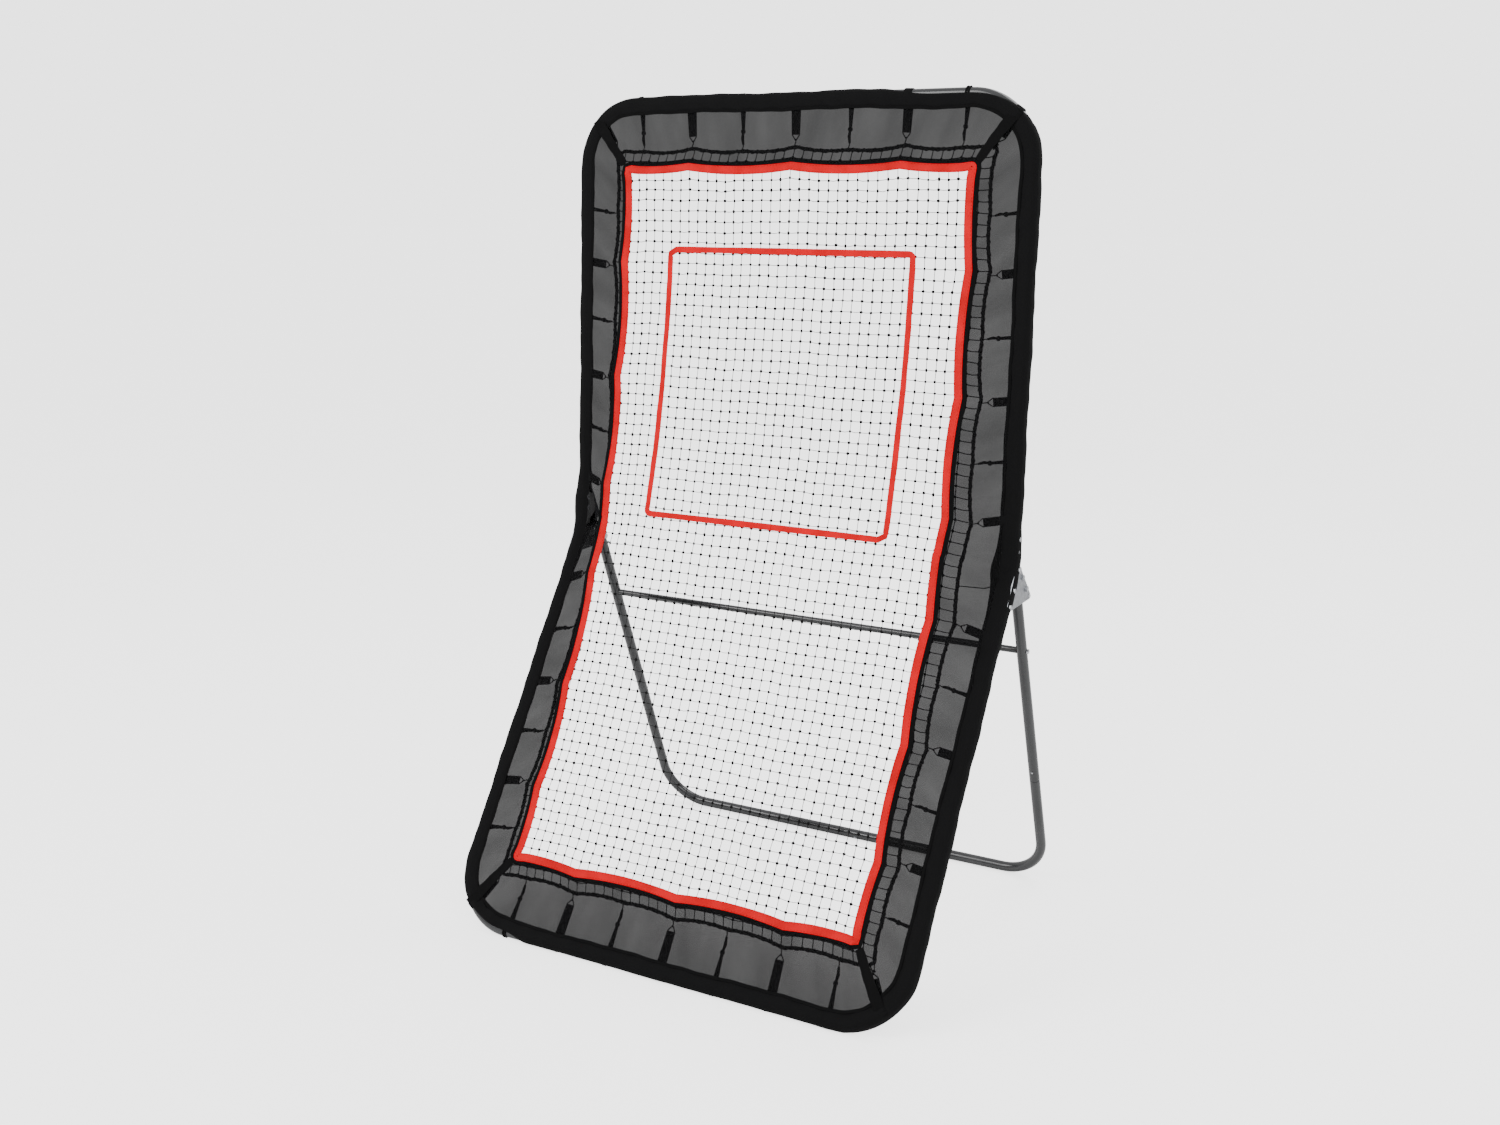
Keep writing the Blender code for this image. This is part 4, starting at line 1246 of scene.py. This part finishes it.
def tubes():
    leg_length = (LEG_FOOT - LEG_PIVOT).length
    for side, word in ((-1, "left"), (1, "right")):
        spigot = (0.058, TUBE_RADIUS - 0.0015) if side < 0 else None
        halves = (("upper", UPPER_RUN, 1, upper_point), ("lower", LOWER_RUN, -1, lower_point))
        for label, run, sign, point in halves:
            start = panel_point(-0.003, sign * run)
            corner = panel_point(side * FRAME_HALF_WIDTH, sign * run)
            end = point(side * FRAME_HALF_WIDTH, TUBE_START)
            path = rounded_corner(start, corner, end, FRAME_BEND)
            node = label + "_frame_" + word + "_tube"
            round_tube(node + "_round", path, TUBE_RADIUS, TUBE_WALL, label + "_frame", [node], spigot)
            tube_plug(node + "_plug", end, (end - path[-2]).normalized(), label + "_frame")
        top = leg_point(side, -LEG_STUB / leg_length)
        split = leg_point(side, LEG_JOINT_SHARE)
        node = "leg_" + word + "_upper_tube"
        round_tube(node + "_round", [top, split], TUBE_RADIUS, TUBE_WALL, "rear_leg", [node])
        tube_plug(node + "_plug", top, (top - split).normalized(), "rear_leg")
        middle = Vector((-0.003, LEG_FOOT.y, LEG_FOOT.z))
        along = (leg_point(side, 1) - leg_point(side, 0)).normalized()
        path = rounded_corner(middle, leg_point(side, 1), split + along * 0.001, LEG_BEND)
        node = "leg_" + word + "_bow"
        round_tube(node + "_round", path, TUBE_RADIUS, TUBE_WALL, "rear_leg", [node], spigot)
    at = leg_point(1, CROSS_BAR_SHARE)
    reach = at.x - TUBE_RADIUS + 0.0008
    ends = [Vector((-reach, at.y, at.z)), Vector((reach, at.y, at.z))]
    round_tube("cross_bar_round", ends, CROSS_BAR_RADIUS, 0.004, "rear_leg", ["leg_cross_bar"], None, 28)


def tube_plug(name, end, way, body):
    """The domed plastic plug in the open end of a tube."""
    rings = ((-0.012, 0.86), (0.0002, 0.88), (0.0002, 0.985), (0.0014, 0.97), (0.0026, 0.80), (0.0032, 0.45))
    path = [end + way * d for d, _ in rings]
    path[1] = path[1] - way * 0.0001
    piece = Piece()
    piece.add(*sweep(path, [TUBE_RADIUS * share for _, share in rings], 28))
    obj = piece.make(name, PLASTIC, 50.0)
    outside(obj)
    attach(obj, body)


# ---------------------------------------------------------------- the CAD nodes that stay
def finish_nodes():
    finishes = {"bracket": ZINC, "spring": SPRING, "bush": PLASTIC, "spacer": PLASTIC, "knob": PLASTIC}
    for name, node in frame["nodes"].items():
        if node.hide_render:
            continue
        look = STEEL
        for word, finish in finishes.items():
            if name.endswith(word):
                look = finish
        node.data.materials.clear()
        node.data.materials.append(look)


# ---------------------------------------------------------------- floor, light and camera
def stage_and_light():
    made, tree, shader = new_material("floor_look", (0.88, 0.88, 0.88), 0.7)
    haze = noise(tree, coordinates(tree, "Object"), 0.6, 3.0)
    drive(tree, shader, haze, ((0.3, (0.87, 0.87, 0.87)), (0.7, (0.90, 0.90, 0.90))))
    seen = tree.nodes.new("ShaderNodeLightPath").outputs["Is Camera Ray"]
    shader.inputs["Emission Color"].default_value = (1.0, 1.0, 1.0, 1.0)
    tree.links.new(math_node(tree, "MULTIPLY", seen, FLOOR_GLOW), shader.inputs["Emission Strength"])
    reach = 60.0
    piece = Piece()
    corners = [(-reach, -reach, 0), (reach, -reach, 0), (reach, reach, 0), (-reach, reach, 0)]
    piece.add(corners, [[0, 1, 2, 3]])
    piece.make("studio_floor", made)
    world = bpy.data.worlds.new("studio")
    world.use_nodes = True
    tree = world.node_tree
    sky = tree.nodes["Background"]
    sky.inputs["Color"].default_value = (1.0, 1.0, 1.0, 1.0)
    seen = tree.nodes.new("ShaderNodeLightPath").outputs["Is Camera Ray"]
    glow = math_node(tree, "MULTIPLY", seen, FLOOR_GLOW - 0.12 * WORLD_STRENGTH)
    tree.links.new(math_node(tree, "ADD", glow, WORLD_STRENGTH), sky.inputs["Strength"])
    bpy.context.scene.world = world
    for name, place, target, size, power in (
        ("key_light", (-2.6, -3.8, 4.2), (0, 0, 0.9), 3.0, KEY_POWER),
        ("fill_light", (3.6, -2.6, 2.6), (0, 0, 0.9), 3.0, KEY_POWER * 0.5),
        ("back_light", (1.5, 2.4, 4.5), (0, 1.5, 0.8), 3.0, KEY_POWER * 0.5),
    ):
        lamp = bpy.data.lights.new(name, "AREA")
        lamp.size = size
        lamp.energy = power
        obj = bpy.data.objects.new(name, lamp)
        obj.location = place
        obj.rotation_euler = (Vector(target) - Vector(place)).to_track_quat("-Z", "Y").to_euler()
        bpy.context.scene.collection.objects.link(obj)


def camera():
    lens = bpy.data.cameras.new("camera")
    lens.sensor_width = 36.0
    lens.lens = 38.54
    obj = bpy.data.objects.new("camera", lens)
    obj.location = (1.8307, HINGE.y - 3.3497, 1.7297)
    obj.rotation_euler = (math.radians(77.00), 0.0, math.radians(29.87))
    bpy.context.scene.collection.objects.link(obj)
    bpy.context.scene.camera = obj


camera()
red_border()
net()
edge_rope()
strike_zone()
sleeve()
mesh_cover()
hinge_flap()
fasteners()
tubes()
finish_nodes()
stage_and_light()
